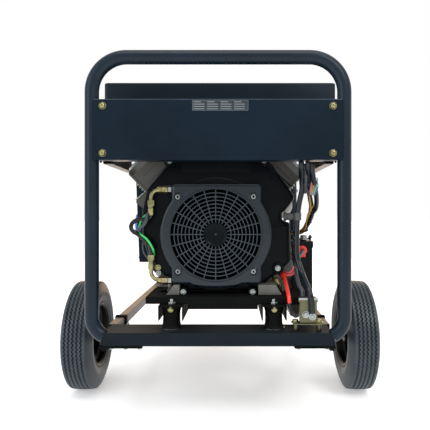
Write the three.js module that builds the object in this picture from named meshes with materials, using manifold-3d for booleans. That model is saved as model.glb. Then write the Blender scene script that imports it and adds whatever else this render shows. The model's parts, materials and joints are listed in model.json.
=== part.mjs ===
// Open-frame portable generator: V-twin engine, alternator, fuel tank and a two-wheel kit.
// Millimetres. +X is to the right seen from the engine end, +Y runs to the alternator end, +Z is up.
// The origin is on the ground at the middle of the overall box.
import * as THREE from "three";
import { mergeVertices } from "three/addons/utils/BufferGeometryUtils.js";
import Module from "manifold-3d";

const wasm = await Module();
wasm.setup();

// Driving dimensions
const LENGTH = 1084;
const TUBE = 32; // hoop tube diameter
const HOOP_SPACING = 1010;
const HOOP_TOP = 863;
const HOOP_HALF = 286.5; // half the distance between the post centrelines
const TOP_RADIUS = 79;
const FOOT_RADIUS = 48;
const FOOT_Z = 210;
const GAP = 0.3;
const SHEET = 2;
const BEAM_Z = [194.5, 224.5];
const BEAM_DEPTH = 75;
const BEAM_HALF = 259;
const RAIL = 22;
const RAIL_X = 257;
const UPPER_RAIL_X = 256;
const UPPER_RAIL_Z = 607;
const PANEL = { half: 280, low: 612, high: 748, corner: 6, flange: 38 };
const WHEEL = { r: 150, width: 84, x: 377, z: 150, rimR: 83, bore: 10.4 };
const AXLE_R = 10;
const CRANK = { x: -8, z: 442 };
const HANDLE = { z: 590, length: 330, r: 12.5, gripR: 16, gripLength: 125 };

const HOOP_Y = -LENGTH / 2 + SHEET + GAP + TUBE / 2;
const REAR_Y = HOOP_Y + HOOP_SPACING;
const back = (depth) => HOOP_Y + depth; // a distance behind the front hoop's centreline
const AXLE_Y = back(290);

const group = new THREE.Group();
group.name = "portable_generator";

// Materials
const FINISH = {
  frame: [0x202c38, 0.4, 0.3],
  tank: [0x1b2630, 0.35, 0.3],
  black: [0x1c1f22, 0.5, 0.2],
  plastic: [0x24272b, 0.6, 0],
  rubber: [0x17181a, 0.85, 0],
  cast: [0x6d7072, 0.55, 0.7],
  alloy: [0x9a9d9f, 0.45, 0.8],
  zinc: [0xb3b5a8, 0.35, 0.9],
  red: [0xd83a2c, 0.5, 0],
  blue: [0x2a4fb0, 0.5, 0],
  copper: [0x9a5a34, 0.5, 0.8],
};

function place(name, geometry, finish, position = [0, 0, 0], rotation = [0, 0, 0]) {
  const [color, roughness, metalness] = FINISH[finish];
  const material = new THREE.MeshStandardMaterial({ color, roughness, metalness });
  const mesh = new THREE.Mesh(geometry, material);
  mesh.name = name;
  mesh.position.set(...position);
  mesh.rotation.set(...rotation);
  group.add(mesh);
  return mesh;
}

// Solids: three.js geometry in and out of the boolean library
function solid(geometry) {
  const bare = geometry.clone();
  bare.deleteAttribute("normal");
  bare.deleteAttribute("uv");
  const merged = mergeVertices(bare, 1e-4);
  return new wasm.Manifold(new wasm.Mesh({
    numProp: 3,
    vertProperties: new Float32Array(merged.attributes.position.array),
    triVerts: new Uint32Array(merged.index.array),
  }));
}

function geometryOf(manifold) {
  const mesh = manifold.getMesh();
  const geometry = new THREE.BufferGeometry();
  geometry.setAttribute("position", new THREE.BufferAttribute(new Float32Array(mesh.vertProperties), 3));
  geometry.setIndex(new THREE.BufferAttribute(new Uint32Array(mesh.triVerts), 1));
  return geometry;
}

const join = (...parts) => geometryOf(parts.map(solid).reduce((a, b) => a.add(b)));
const cut = (base, ...tools) => geometryOf(tools.map(solid).reduce((a, b) => a.subtract(b), solid(base)));

// Shape helpers
const box = (x0, x1, y0, y1, z0, z1) =>
  new THREE.BoxGeometry(x1 - x0, y1 - y0, z1 - z0).translate((x0 + x1) / 2, (y0 + y1) / 2, (z0 + z1) / 2);

// A cylinder centred on (x, y, z) along the named axis
function rod(axis, r, length, x, y, z, sides = 20) {
  const geometry = new THREE.CylinderGeometry(r, r, length, sides);
  if (axis === "x") geometry.rotateZ(Math.PI / 2);
  if (axis === "z") geometry.rotateX(Math.PI / 2);
  return geometry.translate(x, y, z);
}

// A turned solid about the axis through (x, y, z): profile holds [radius, distance along the axis]
function turned(axis, profile, x, y, z, sides = 32) {
  const geometry = new THREE.LatheGeometry(profile.map(([r, d]) => new THREE.Vector2(r, d)), sides);
  if (axis === "x") geometry.rotateZ(-Math.PI / 2);
  if (axis === "z") geometry.rotateX(Math.PI / 2);
  return geometry.translate(x, y, z);
}

function outline(points) {
  const shape = new THREE.Shape();
  shape.moveTo(...points[0]);
  points.slice(1).forEach((p) => shape.lineTo(...p));
  shape.closePath();
  return shape;
}

function roundedRect(x0, x1, z0, z1, r, Kind = THREE.Shape) {
  const s = new Kind();
  s.moveTo(x0 + r, z0);
  s.lineTo(x1 - r, z0).absarc(x1 - r, z0 + r, r, -Math.PI / 2, 0, false);
  s.lineTo(x1, z1 - r).absarc(x1 - r, z1 - r, r, 0, Math.PI / 2, false);
  s.lineTo(x0 + r, z1).absarc(x0 + r, z1 - r, r, Math.PI / 2, Math.PI, false);
  s.lineTo(x0, z0 + r).absarc(x0 + r, z0 + r, r, Math.PI, Math.PI * 1.5, false);
  return s;
}

// An X-Z outline pushed from y0 to y1
function slabY(shape, y0, y1, curveSegments = 6) {
  const geometry = new THREE.ExtrudeGeometry(shape, { depth: y1 - y0, bevelEnabled: false, curveSegments });
  return geometry.rotateX(Math.PI / 2).translate(0, y1, 0);
}

// A Y-Z outline pushed from x0 to x1
function slabX(shape, x0, x1, curveSegments = 6) {
  const geometry = new THREE.ExtrudeGeometry(shape, { depth: x1 - x0, bevelEnabled: false, curveSegments });
  return geometry.rotateX(Math.PI / 2).rotateZ(Math.PI / 2).translate(x0, 0, 0);
}

// A pipe's centreline: straight runs with round bends, stopping only where the bend needs it
class PipeLine extends THREE.Curve {
  constructor(corners, radius, bendSteps = 5) {
    super();
    this.stops = [];
    this.tangents = [];
    const pts = corners.map((p) => new THREE.Vector3(...p));
    const stop = (point, tangent) => {
      this.stops.push(point);
      this.tangents.push(tangent.clone().normalize());
    };
    stop(pts[0], pts[1].clone().sub(pts[0]));
    for (let i = 1; i < pts.length - 1; i++) {
      const from = pts[i - 1].clone().sub(pts[i]).normalize();
      const to = pts[i + 1].clone().sub(pts[i]).normalize();
      const half = from.angleTo(to) / 2;
      const r = Array.isArray(radius) ? radius[i - 1] : radius;
      const middle = from.clone().add(to).normalize().multiplyScalar(r / Math.sin(half)).add(pts[i]);
      const start = pts[i].clone().addScaledVector(from, r / Math.tan(half)).sub(middle);
      const axis = from.clone().cross(to).normalize();
      for (let k = 0; k <= bendSteps; k++) {
        const turn = -((Math.PI - 2 * half) * k) / bendSteps;
        stop(
          start.clone().applyAxisAngle(axis, turn).add(middle),
          from.clone().negate().applyAxisAngle(axis, turn),
        );
      }
    }
    stop(pts.at(-1), pts.at(-1).clone().sub(pts.at(-2)));
  }
  get steps() {
    return this.stops.length - 1;
  }
  getPoint(t, target = new THREE.Vector3()) {
    return target.copy(this.stops[Math.round(t * this.steps)]);
  }
  getPointAt(u, target) {
    return this.getPoint(u, target);
  }
  getTangentAt(u, target = new THREE.Vector3()) {
    return target.copy(this.tangents[Math.round(u * this.steps)]);
  }
}

function circle(r, sides) {
  const turn = (k) => (2 * Math.PI * (k + 0.5)) / sides;
  return outline(Array.from({ length: sides }, (_, k) => [r * Math.cos(turn(k)), r * Math.sin(turn(k))]));
}

function pipe(corners, r, bend, sides = 12, bendSteps = 5) {
  const extrudePath = new PipeLine(corners, bend, bendSteps);
  return new THREE.ExtrudeGeometry(circle(r, sides), { steps: extrudePath.steps, extrudePath });
}

// A smooth cable or hose through hand-placed points
function cable(points, r, steps, sides = 8) {
  const extrudePath = new THREE.CatmullRomCurve3(points.map((p) => new THREE.Vector3(...p)));
  return new THREE.ExtrudeGeometry(circle(r, sides), { steps, extrudePath });
}

const SIDES = [["left", -1], ["right", 1]];

// --- Frame -------------------------------------------------------------------------------------
const BEAM_FRONT = [back(0), back(BEAM_DEPTH)];
const BEAM_REAR = [back(HOOP_SPACING - BEAM_DEPTH), back(HOOP_SPACING)];
const BEAM_MIDDLE = [back(690), back(690 + 50)];
const RAIL_TOP = BEAM_Z[1];

function hoop(name, y, ...welded) {
  const inner = BEAM_HALF - 40;
  const top = HOOP_TOP - TUBE / 2;
  const tube = pipe(
    [
      [-inner, y, FOOT_Z],
      [-HOOP_HALF, y, FOOT_Z],
      [-HOOP_HALF, y, top],
      [HOOP_HALF, y, top],
      [HOOP_HALF, y, FOOT_Z],
      [inner, y, FOOT_Z],
    ],
    TUBE / 2,
    [FOOT_RADIUS, TOP_RADIUS, TOP_RADIUS, FOOT_RADIUS],
    14,
    5,
  );
  const half = BEAM_HALF + GAP;
  const trimmed = cut(tube, box(-half, half, y - TUBE, y + TUBE, BEAM_Z[0] - 5, BEAM_Z[1] + 5));
  place(name, join(trimmed, ...welded), "frame");
}

// A cross beam: an inverted channel, open below
function beam([y0, y1], half) {
  const wall = 3;
  const inside = box(-half - 1, half + 1, y0 + wall, y1 - wall, BEAM_Z[0] - 1, BEAM_Z[1] - wall);
  return cut(box(-half, half, y0, y1, BEAM_Z[0], BEAM_Z[1]), inside);
}

// A square tube along Y, open at both ends
function railAlongY(x, z, y0, y1) {
  const half = RAIL / 2;
  const wall = 2;
  const inside = box(x - half + wall, x + half - wall, y0 - 1, y1 + 1, z - half + wall, z + half - wall);
  return cut(box(x - half, x + half, y0, y1, z - half, z + half), inside);
}

// Pivot ears and pin for a fold-down handle, welded to the back of a rear post
const HANDLE_Y = REAR_Y + TUBE / 2 + 22;
function handleBracket(x) {
  const { z } = HANDLE;
  const ear = (dx) => box(x + dx - 2, x + dx + 2, REAR_Y + TUBE / 2 - 1, HANDLE_Y + 12, z - 14, z + 14);
  const base = box(x - 18, x + 18, REAR_Y + TUBE / 2 - 4, REAR_Y + TUBE / 2 + 3, z - 14, z + 14);
  return join(base, ear(-16), ear(16), rod("x", 4, 40, x, HANDLE_Y, z));
}

// A rear leg under its flange, welded below the rear crossmember
const LEG = { x: 220, half: 16, y: BEAM_REAR[0] + BEAM_DEPTH / 2, low: 20 };
function rearLeg(x) {
  const { half, y, low } = LEG;
  const flange = box(x - 34, x + 34, y - 38, y + 38, BEAM_Z[0] - 4, BEAM_Z[0] + 1);
  return join(flange, box(x - half, x + half, y - half, y + half, low, BEAM_Z[0]));
}

hoop("front_hoop", HOOP_Y);
hoop("rear_hoop", REAR_Y, handleBracket(-HOOP_HALF), handleBracket(HOOP_HALF));
place("front_crossmember", beam([BEAM_FRONT[0] - TUBE / 2, BEAM_FRONT[1]], BEAM_HALF), "frame");
place("rear_crossmember", join(
  beam([BEAM_REAR[0], BEAM_REAR[1] + TUBE / 2], BEAM_HALF),
  rearLeg(-LEG.x),
  rearLeg(LEG.x),
), "frame");
place("alternator_crossmember", beam(BEAM_MIDDLE, RAIL_X - RAIL / 2 - GAP), "frame");

// The battery sits in a tray welded to the right lower rail
const BATTERY = { x0: 187, x1: 245, y0: back(185), y1: back(365), z0: RAIL_TOP + 3 + GAP, z1: 420 };
function batteryTray() {
  const { x0, x1, y0, y1, z0 } = BATTERY;
  const t = 3 + GAP;
  return cut(
    box(x0 - t, x1 + t, y0 - t, y1 + t, RAIL_TOP - 2, z0 + 24),
    box(x0 - GAP, x1 + GAP, y0 - GAP, y1 + GAP, z0 - GAP, z0 + 25),
  );
}
const lowerRail = (s) =>
  railAlongY(s * RAIL_X, RAIL_TOP - RAIL / 2, BEAM_FRONT[1] + GAP, BEAM_REAR[0] - GAP);
place("lower_rail_left", lowerRail(-1), "frame");
place("lower_rail_right", join(lowerRail(1), batteryTray()), "frame");

// End panels: a flat sheet outside the posts with a deep flange folded in below and a short one above
function endPanel(name, y, s) {
  const outer = y + s * (TUBE / 2 + GAP);
  const shape = roundedRect(-PANEL.half, PANEL.half, PANEL.low, PANEL.high, PANEL.corner);
  const span = (a, b) => [Math.min(a, b), Math.max(a, b)];
  const [y0, y1] = span(outer, outer + s * SHEET);
  const half = HOOP_HALF - TUBE / 2 - 2;
  const [f0, f1] = span(outer + s, outer - s * PANEL.flange);
  const [t0, t1] = span(outer + s, outer - s * 14);
  const sheet = slabY(shape, y0, y1, 4);
  const lower = box(-half, half, f0, f1, PANEL.low, PANEL.low + SHEET);
  const upper = box(-half, half, t0, t1, PANEL.high - SHEET, PANEL.high);
  place(name, join(sheet, lower, upper), "frame");
  return outer - s * (PANEL.flange + GAP);
}

const upperStart = endPanel("front_panel", HOOP_Y, -1);
const upperEnd = endPanel("rear_panel", REAR_Y, 1);
const TANK = { half: 298, low: 700, seam: 748, high: 824, y0: back(128), y1: back(880), round: 8 };
for (const [side, s] of SIDES) {
  const x = s * UPPER_RAIL_X;
  const rail = railAlongY(x, UPPER_RAIL_Z + RAIL / 2, upperStart, upperEnd);
  const upright = (y) => box(x - RAIL / 2, x + RAIL / 2, y, y + 40, UPPER_RAIL_Z + RAIL - 1, TANK.low - GAP);
  place(`upper_rail_${side}`, join(rail, upright(back(200)), upright(back(770))), "frame");
}

// --- Wheel kit ---------------------------------------------------------------------------------
// One welded carriage: a plate under each end of the front crossmember, an arm back to the axle, and a strap
// round the lower rail on each side
function wheelArm(s) {
  const x = s * RAIL_X;
  const plateTop = BEAM_Z[0] - GAP;
  const plateLow = plateTop - 4;
  const arm = slabX(
    outline([
      [back(-14), plateTop - 1],
      [back(110), plateTop - 1],
      [AXLE_Y + 22, WHEEL.z + 16],
      [AXLE_Y + 22, WHEEL.z - 18],
      [AXLE_Y - 22, WHEEL.z - 18],
      [back(30), plateLow - 12],
      [back(-14), plateLow - 6],
    ]),
    x - 5,
    x + 5,
  );
  const plateX = s < 0 ? [-264, -170] : [172, 264];
  const plate = box(...plateX, back(-18), back(62), plateLow, plateTop);
  const strapY = [back(156), back(174)];
  const inner = RAIL / 2 + GAP;
  const outer = inner + 3;
  const strap = box(x - outer, x + outer, ...strapY, plateLow - 18, RAIL_TOP + GAP + 3);
  const hollow = box(x - inner, x + inner, strapY[0] - 1, strapY[1] + 1, plateLow - 14, RAIL_TOP + GAP);
  return solid(strap).subtract(solid(hollow)).add(solid(plate)).add(solid(arm));
}
const axle = rod("x", AXLE_R, 2 * (WHEEL.x + WHEEL.width / 2) - 8, 0, AXLE_Y, WHEEL.z, 24);
place("axle_frame", geometryOf(solid(axle).add(wheelArm(-1)).add(wheelArm(1))), "frame");

for (const [side, s] of SIDES) {
  const { r, width, rimR, bore } = WHEEL;
  const half = width / 2;
  const tyre = [
    [rimR, -half + 14], [rimR + 14, -half + 4], [rimR + 34, -half], [r - 17, -half + 5], [r - 5, -half + 15],
    [r, -half + 27], [r, half - 27], [r - 5, half - 15], [r - 17, half - 5], [rimR + 34, half],
    [rimR + 14, half - 4], [rimR, half - 14], [rimR, -half + 14],
  ];
  const seat = rimR * Math.cos(Math.PI / 36) - GAP;
  const rim = [
    [bore, -30], [26, -30], [26, -6], [64, -2], [70, -half + 20], [seat - 6, -half + 12], [seat, -half + 12],
    [seat, half - 12], [seat - 6, half - 12], [70, half - 20], [66, 4], [26, 0], [26, 30], [bore, 30],
    [bore, -30],
  ];
  place(`tyre_${side}`, turned("x", tyre, s * WHEEL.x, AXLE_Y, WHEEL.z, 36), "rubber");
  place(`rim_${side}`, turned("x", rim, s * WHEEL.x, AXLE_Y, WHEEL.z, 24), "black");
}

// Rubber feet on the rear legs
for (const [side, s] of SIDES) {
  const x = s * LEG.x;
  const { y, low } = LEG;
  const socket = LEG.half + GAP;
  const pocket = box(x - socket, x + socket, y - socket, y + socket, low - GAP, 40);
  place(`rear_foot_${side}`, cut(rod("z", 26, 30, x, y, 15, 24), pocket), "rubber");
}

// Fold-down handles hang on the pins, with a rubber grip on the free end
for (const [side, s] of SIDES) {
  const x = s * HOOP_HALF;
  const { z, length, r, gripR, gripLength } = HANDLE;
  const tube = rod("z", r, length, x, HANDLE_Y, z - length / 2, 16);
  const eye = rod("x", r, 26, x, HANDLE_Y, z, 20);
  const bore = rod("x", 4.3, 60, x, HANDLE_Y, z, 20);
  const low = z - length;
  const sleeve = rod("z", r + GAP, gripLength, x, HANDLE_Y, low + gripLength / 2 - GAP, 16);
  const grip = rod("z", gripR, gripLength, x, HANDLE_Y, low + gripLength / 2 - 5, 20);
  place(`handle_${side}`, geometryOf(solid(tube).add(solid(eye)).subtract(solid(bore))), "frame");
  place(`handle_grip_${side}`, cut(grip, sleeve), "rubber");
}

// --- Fuel tank ---------------------------------------------------------------------------------
{
  const ring = (inset, z0, z1, bevel) => {
    const half = TANK.half - inset;
    const s = roundedRect(-half, half, TANK.y0 + inset, TANK.y1 - inset, TANK.round);
    const depth = z1 - z0;
    const edge = { bevelThickness: bevel, bevelSize: bevel, bevelOffset: -bevel, bevelSegments: 2 };
    return new THREE.ExtrudeGeometry(s, {
      depth: depth - 2 * bevel, bevelEnabled: bevel > 0, ...edge, curveSegments: 3,
    }).translate(0, 0, z0 + bevel);
  };
  const upper = ring(4, TANK.seam - 10, TANK.high, 3);
  const lower = ring(10, TANK.low, TANK.seam + 10, 6);
  const seam = ring(0, TANK.seam - 1.5, TANK.seam + 1.5, 0);
  const neck = rod("z", 26, 14, 150, back(430), TANK.high + 5, 24);
  const gaugeSeat = rod("z", 19, 6, -60, back(430), TANK.high + 1, 24);
  place("fuel_tank", join(upper, lower, seam, neck, gaugeSeat), "tank");
  place("fuel_cap", turned("z", [[0, 12.3], [34, 12.3], [36, 14], [36, 26], [30, 30], [0, 30]],
    150, back(430), TANK.high, 24), "black");
}

// --- Engine bed --------------------------------------------------------------------------------
const BED = { z0: 245, z1: 280, width: 58, wall: 3, y0: back(16), y1: back(770) };
const BED_X = { left: -110, right: 129 };
const PLATE = { x0: -171, x1: 195, y0: back(35), y1: back(180), z0: BED.z1 + GAP, z1: 297 };
for (const [side] of SIDES) {
  const x = BED_X[side];
  const half = BED.width / 2;
  const channel = cut(
    box(x - half, x + half, BED.y0, BED.y1, BED.z0, BED.z1),
    box(x - half + 3, x + half - 3, BED.y0 - 1, BED.y1 + 1, BED.z0 - 1, BED.z1 - BED.wall),
  );
  place(`engine_rail_${side}`, channel, "frame");
  const mountProfile = [[0, 0], [24, 0], [24, 3], [19, 6], [18.5, 26], [20.5, 49], [20.5, 51.7], [0, 51.7]];
  for (const [end, y] of [["front", back(37)], ["rear", back(715)]]) {
    place(`mount_${end}_${side}`, turned("z", mountProfile, x, y, RAIL_TOP + GAP, 20), "rubber");
  }
}
place("engine_base_plate", join(
  cut(
    box(PLATE.x0, PLATE.x1, PLATE.y0, PLATE.y1, PLATE.z0, PLATE.z1),
    box(PLATE.x0 + 4, PLATE.x1 - 4, PLATE.y0 + 4, PLATE.y1 - 4, PLATE.z0 - 1, PLATE.z1 - 4),
    box(-148, -128, PLATE.y0 + 70, PLATE.y0 + 105, PLATE.z0, PLATE.z1 + 1),
  ),
  box(-72, 92, PLATE.y0, PLATE.y0 + 4, 268, PLATE.z1 - 2),
), "frame");

// --- Engine ------------------------------------------------------------------------------------
const SHAFT_R = 20;
const BLOCK = { y0: back(126), y1: back(400), low: PLATE.z1 + GAP };
const crankPoint = (x, z) => [CRANK.x + x, CRANK.z + z];
{
  const front = outline([
    [-128, BLOCK.low], [148, BLOCK.low], [150, 306], crankPoint(110, -98), crankPoint(118, 18),
    crankPoint(24, 112), crankPoint(-24, 112), crankPoint(-118, 18), crankPoint(-118, -70), [-130, 312],
  ]);
  const block = slabY(front, BLOCK.y0, BLOCK.y1);
  const shaftway = rod("y", SHAFT_R + 2, 400, CRANK.x, (BLOCK.y0 + BLOCK.y1) / 2, CRANK.z, 24);
  const tunnel = box(-90, 108, BLOCK.y0 - 1, BLOCK.y1 + 1, BLOCK.low - 1, BLOCK.low + 12);
  place("crankcase", geometryOf(
    solid(block).subtract(solid(shaftway)).subtract(solid(tunnel)),
  ), "cast");
}

// Each cylinder stands 45 degrees from upright about the crankshaft, finned up to its head
const CYL = { start: 121, end: 236, half: 58, fins: 7, pitch: 16, y: { left: back(202), right: back(238) } };
for (const [side, s] of SIDES) {
  const lean = [0, s * Math.PI / 4, 0];
  const at = [CRANK.x, CYL.y[side], CRANK.z];
  let barrel = solid(box(-44, 44, -46, 46, CYL.start, CYL.end));
  for (let i = 0; i < CYL.fins; i++) {
    const z = CYL.start + 6 + i * CYL.pitch;
    barrel = barrel.add(solid(box(-CYL.half, CYL.half, -60, 60, z, z + 3)));
  }
  const cover = new THREE.ExtrudeGeometry(roundedRect(-48, 48, -56, 56, 14), {
    depth: 34, bevelThickness: 6, bevelSize: 6, bevelOffset: -6, bevelSegments: 2, curveSegments: 4,
  }).translate(0, 0, CYL.end + 5);
  place(`cylinder_${side}`, geometryOf(barrel.add(solid(cover))), "cast", at, lean);

  // The sheet shroud wraps the front and the upper face of the cylinder, and stops short of the lower fins
  const t = 2;
  const [lower, upper] = [48, 64];
  const mirror = s < 0 ? 1 : -1;
  const acrossX = (a, b) => (mirror > 0 ? [a, b] : [-b, -a]);
  const zRange = [CYL.start + 14, CYL.end + 32];
  const front = box(...acrossX(-lower, upper), -74, -74 + t, ...zRange);
  const upperSide = box(...acrossX(upper, upper + t), -74, 62, ...zRange);
  const lowerSide = box(...acrossX(-lower - t, -lower), -74, -62, ...zRange);
  place(`cylinder_shroud_${side}`, join(front, upperSide, lowerSide), "black", at, lean);
}

// Blower housing: a plastic cowl open at the back, with the fan opening in its face
const COWL = { y0: back(92.3), depth: 30, fanR: 112 };
function cowlShape(i) {
  return outline([
    crankPoint(-172 + i, 108), crankPoint(-118, 174 - i), crankPoint(-86, 196 - i), crankPoint(86, 196 - i),
    crankPoint(137, 174 - i), crankPoint(196 - i, 90), crankPoint(170 - i, 56), crankPoint(163 - i, 52),
    crankPoint(163 - i, 36), crankPoint(170 - i, 31), crankPoint(182 - i, 28), crankPoint(184 - i, -69),
    crankPoint(95, -143 + i), crankPoint(-89, -143 + i), crankPoint(-118, -120 + i),
    crankPoint(-167 + i, -54), crankPoint(-182 + i, -10), crankPoint(-182 + i, 60),
  ]);
}
{
  const wall = 3;
  const outer = slabY(cowlShape(0), COWL.y0, COWL.y0 + COWL.depth);
  const inner = slabY(cowlShape(wall), COWL.y0 + wall, COWL.y0 + COWL.depth + 1);
  const opening = rod("y", COWL.fanR, 40, CRANK.x, COWL.y0, CRANK.z, 32);
  const shell = solid(outer).subtract(solid(inner)).subtract(solid(opening));
  place("blower_housing", geometryOf(shell), "plastic");
}

// Oil cooler cover: a square plate merged with a round collar that is cut off level at the top
const COVER = { y0: back(62), depth: 30, half: 106, reach: 119, collar: 134 };
const GRILLE = { r: 109, hubR: 28, rings: 4, spokes: 12 };
{
  const y1 = COVER.y0 + COVER.depth;
  const [cx, cz] = crankPoint(0, 0);
  const { half, reach } = COVER;
  const above = (z) => solid(box(cx - 150, cx + 150, COVER.y0 - 10, y1 + 10, cz + z, cz + 160));
  const squareShape = roundedRect(cx - half, cx + half, cz - reach, cz + reach, 7);
  const square = slabY(squareShape, COVER.y0 + 6, y1, 3);
  const collar = rod("y", COVER.collar, COVER.depth, cx, (COVER.y0 + y1) / 2, cz, 40);
  const window = rod("y", GRILLE.r, 80, cx, y1, cz, 32);
  const wall = 3;
  const [halfIn, reachIn] = [half - wall, reach - wall];
  const squareInside = roundedRect(cx - halfIn, cx + halfIn, cz - reachIn, cz + reachIn, 5);
  const insideSquare = slabY(squareInside, COVER.y0 + 6 + wall, y1 + 1, 3);
  const innerR = COVER.collar - wall;
  const insideRound = rod("y", innerR, COVER.depth, cx, COVER.y0 + wall + COVER.depth / 2, cz, 40);
  let cover = solid(square).add(solid(collar).subtract(above(reach + 2))).subtract(solid(window));
  cover = cover.subtract(solid(insideSquare)).subtract(solid(insideRound).subtract(above(reachIn + 2)));
  const yGrille = [COVER.y0 + 1, COVER.y0 + 5];
  const { hubR } = GRILLE;
  const pitch = (GRILLE.r - hubR) / GRILLE.rings;
  cover = cover.add(solid(rod("y", hubR, 6, cx, COVER.y0 + 3, cz, 24)));
  for (let k = 1; k < GRILLE.rings; k++) {
    const r = hubR + k * pitch;
    const profile = [[r - 1.2, 0], [r + 1.2, 0], [r + 1.2, 4], [r - 1.2, 4], [r - 1.2, 0]];
    cover = cover.add(solid(turned("y", profile, cx, yGrille[0], cz, 24)));
  }
  for (let k = 0; k < GRILLE.spokes / 2; k++) {
    const spoke = box(-GRILLE.r - 2, GRILLE.r + 2, ...yGrille, -1, 1);
    spoke.rotateY((Math.PI * 2 * k) / GRILLE.spokes).translate(cx, 0, cz);
    cover = cover.add(solid(spoke));
  }
  place("cooler_cover", geometryOf(cover), "plastic");
}

// Oil cooler core behind the grille, with its end tank on the hose side
{
  const y = [back(69), back(90)];
  const [cx, cz] = crankPoint(0, 0);
  let core = solid(box(cx - 90, cx + 90, ...y, cz - 92, cz + 92));
  for (let k = 0; k < 9; k++) {
    const z = cz - 80 + k * 20;
    core = core.subtract(solid(box(cx - 82, cx + 82, y[0] - 1, y[0] + 8, z - 6, z + 6)));
  }
  place("oil_cooler", geometryOf(core), "alloy");
}

// Flywheel fan, crankshaft and alternator rotor turn together
const FAN_Y = back(114);
const GEN = { y0: back(430), y1: back(770), r: 145, wall: 6, statorR: 98 };
{
  const [cx, cz] = crankPoint(0, 0);
  const shaftEnd = GEN.y1 + 30;
  let spin = solid(rod("y", SHAFT_R, shaftEnd - (COWL.y0 - 2), cx, (shaftEnd + COWL.y0 - 2) / 2, cz, 20));
  spin = spin.add(solid(rod("y", 95, 4, cx, FAN_Y, cz, 32)));
  for (let k = 0; k < 12; k++) {
    const blade = box(58, 94, FAN_Y - 8, FAN_Y, -2, 2);
    blade.rotateY((Math.PI * 2 * k) / 12).translate(cx, 0, cz);
    spin = spin.add(solid(blade));
  }
  spin = spin.add(solid(rod("y", 92, 210, cx, (GEN.y0 + GEN.y1) / 2, cz, 24)));
  place("crankshaft_and_rotor", geometryOf(spin), "alloy");
}

// --- Alternator --------------------------------------------------------------------------------
{
  const [cx, cz] = crankPoint(0, 0);
  const bell = [[60, -29.4], [118, -29.4], [GEN.r, 0], [GEN.r, 30], [GEN.r - 6, 30], [60, 30], [60, -29.4]];
  const adaptor = turned("y", bell, cx, GEN.y0 - 0, cz, 32);
  const barrelProfile = [
    [GEN.r - 12, 0], [GEN.r - 2, 0], [GEN.r, 10], [GEN.r, 270], [GEN.r - 2, 280], [GEN.r - 12, 280],
    [GEN.r - 12, 0],
  ];
  const barrelY = GEN.y0 + 29;
  const barrel = turned("y", barrelProfile, cx, barrelY, cz, 32);
  let housing = solid(barrel);
  for (const [side] of SIDES) {
    const x = BED_X[side];
    const inward = side === "left" ? 1 : -1;
    const footY = [back(680), back(730)];
    const web = box(x - 8 + inward * 18, x + 8 + inward * 18, ...footY, BED.z1 + 3, 400);
    const foot = box(x - 26, x + 26, ...footY, BED.z1 + GAP, BED.z1 + 9);
    housing = housing.add(solid(web)).add(solid(foot));
  }
  const hollow = rod("y", GEN.r - 12, 600, cx, barrelY, cz, 32);
  place("alternator_housing", geometryOf(housing.subtract(solid(hollow)).add(solid(adaptor))), "black");
  const statorR = GEN.r - 12 - GAP * 3;
  const stator = [[GEN.statorR, 0], [statorR, 0], [statorR, 200], [GEN.statorR, 200], [GEN.statorR, 0]];
  place("stator", turned("y", stator, cx, barrelY + 35, cz, 24), "copper");
  const coverProfile = [
    [34, 34], [70, 34], [128, 20], [GEN.r - 6, 14], [GEN.r - 6, 0], [GEN.r, 0], [GEN.r, 18], [132, 26],
    [70, 40], [34, 40], [34, 34],
  ];
  let cover = solid(turned("y", coverProfile, cx, barrelY + 280 + GAP, cz, 28));
  for (let k = 0; k < 8; k++) {
    const slot = box(82, 118, barrelY + 270, barrelY + 330, -6, 6);
    slot.rotateY((Math.PI * 2 * (k + 0.5)) / 8).translate(cx, 0, cz);
    cover = cover.subtract(solid(slot));
  }
  place("alternator_end_cover", geometryOf(cover), "black");
}

// --- Things round the engine -------------------------------------------------------------------
// Starter motor, low on the right beside the crankcase
{
  const profile = [[0, -60], [22, -60], [27, -54], [31, -40], [31, 62], [26, 72], [0, 72]];
  const starter = turned("y", profile, 152, back(200), 354, 20);
  place("starter_motor", starter, "cast");
}

// Starter relay: a case behind a bracket plate with two studs, on two spacers over the front crossmember
const RELAY = { x0: 186, x1: 225, y0: back(4), y1: back(30), low: 240, high: 300 };
const RELAY_STUD = { x: 213.5, z: 260 };
{
  const { x0, x1, y0, y1, low, high } = RELAY;
  const flange = box(x0 - 16, x1 + 12, y0 - 8, y1, low, low + 3.5);
  const body = box(x0, x1, y0, y1, low + 3, high);
  const spacers = [x0 - 9, x1 + 6].map((x) =>
    rod("z", 6, low + 1 - RAIL_TOP - GAP, x, back(12), (low + 1 + RAIL_TOP + GAP) / 2, 16));
  const mainStud = rod("y", 5, 15, RELAY_STUD.x, y0 - 7, RELAY_STUD.z, 16);
  const sideStud = rod("y", 6, 10, x0 + 14, y0 - 4, RELAY_STUD.z + 2, 16);
  place("starter_relay", join(flange, body, ...spacers, mainStud, sideStud), "zinc");
}

// Battery with its ribbed case and the boot over its front terminal
const BOOT = { x: 214.5, z: 396, depth: 16 };
{
  const { x0, x1, y0, y1, z0, z1 } = BATTERY;
  let body = solid(box(x0, x1, y0, y1, z0, z1));
  for (let k = 0; k < 4; k++) {
    const z = z0 + 34 + k * 34;
    body = body.subtract(solid(box(x0 - 1, x0 + 1.5, y0 + 8, y1 - 8, z, z + 3)));
    body = body.subtract(solid(box(x1 - 1.5, x1 + 1, y0 + 8, y1 - 8, z, z + 3)));
    body = body.subtract(solid(box(x0 + 8, x1 - 8, y0 - 1, y0 + 1.5, z, z + 3)));
  }
  place("battery", geometryOf(body), "plastic");
  place("battery_boot", join(
    rod("y", 12, BOOT.depth, BOOT.x, y0 - GAP - BOOT.depth / 2, BOOT.z, 20),
    box(BOOT.x - 8, BOOT.x + 8, y0 - GAP - BOOT.depth, y0 - GAP, BOOT.z - 18, BOOT.z),
  ), "red");
}

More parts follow.
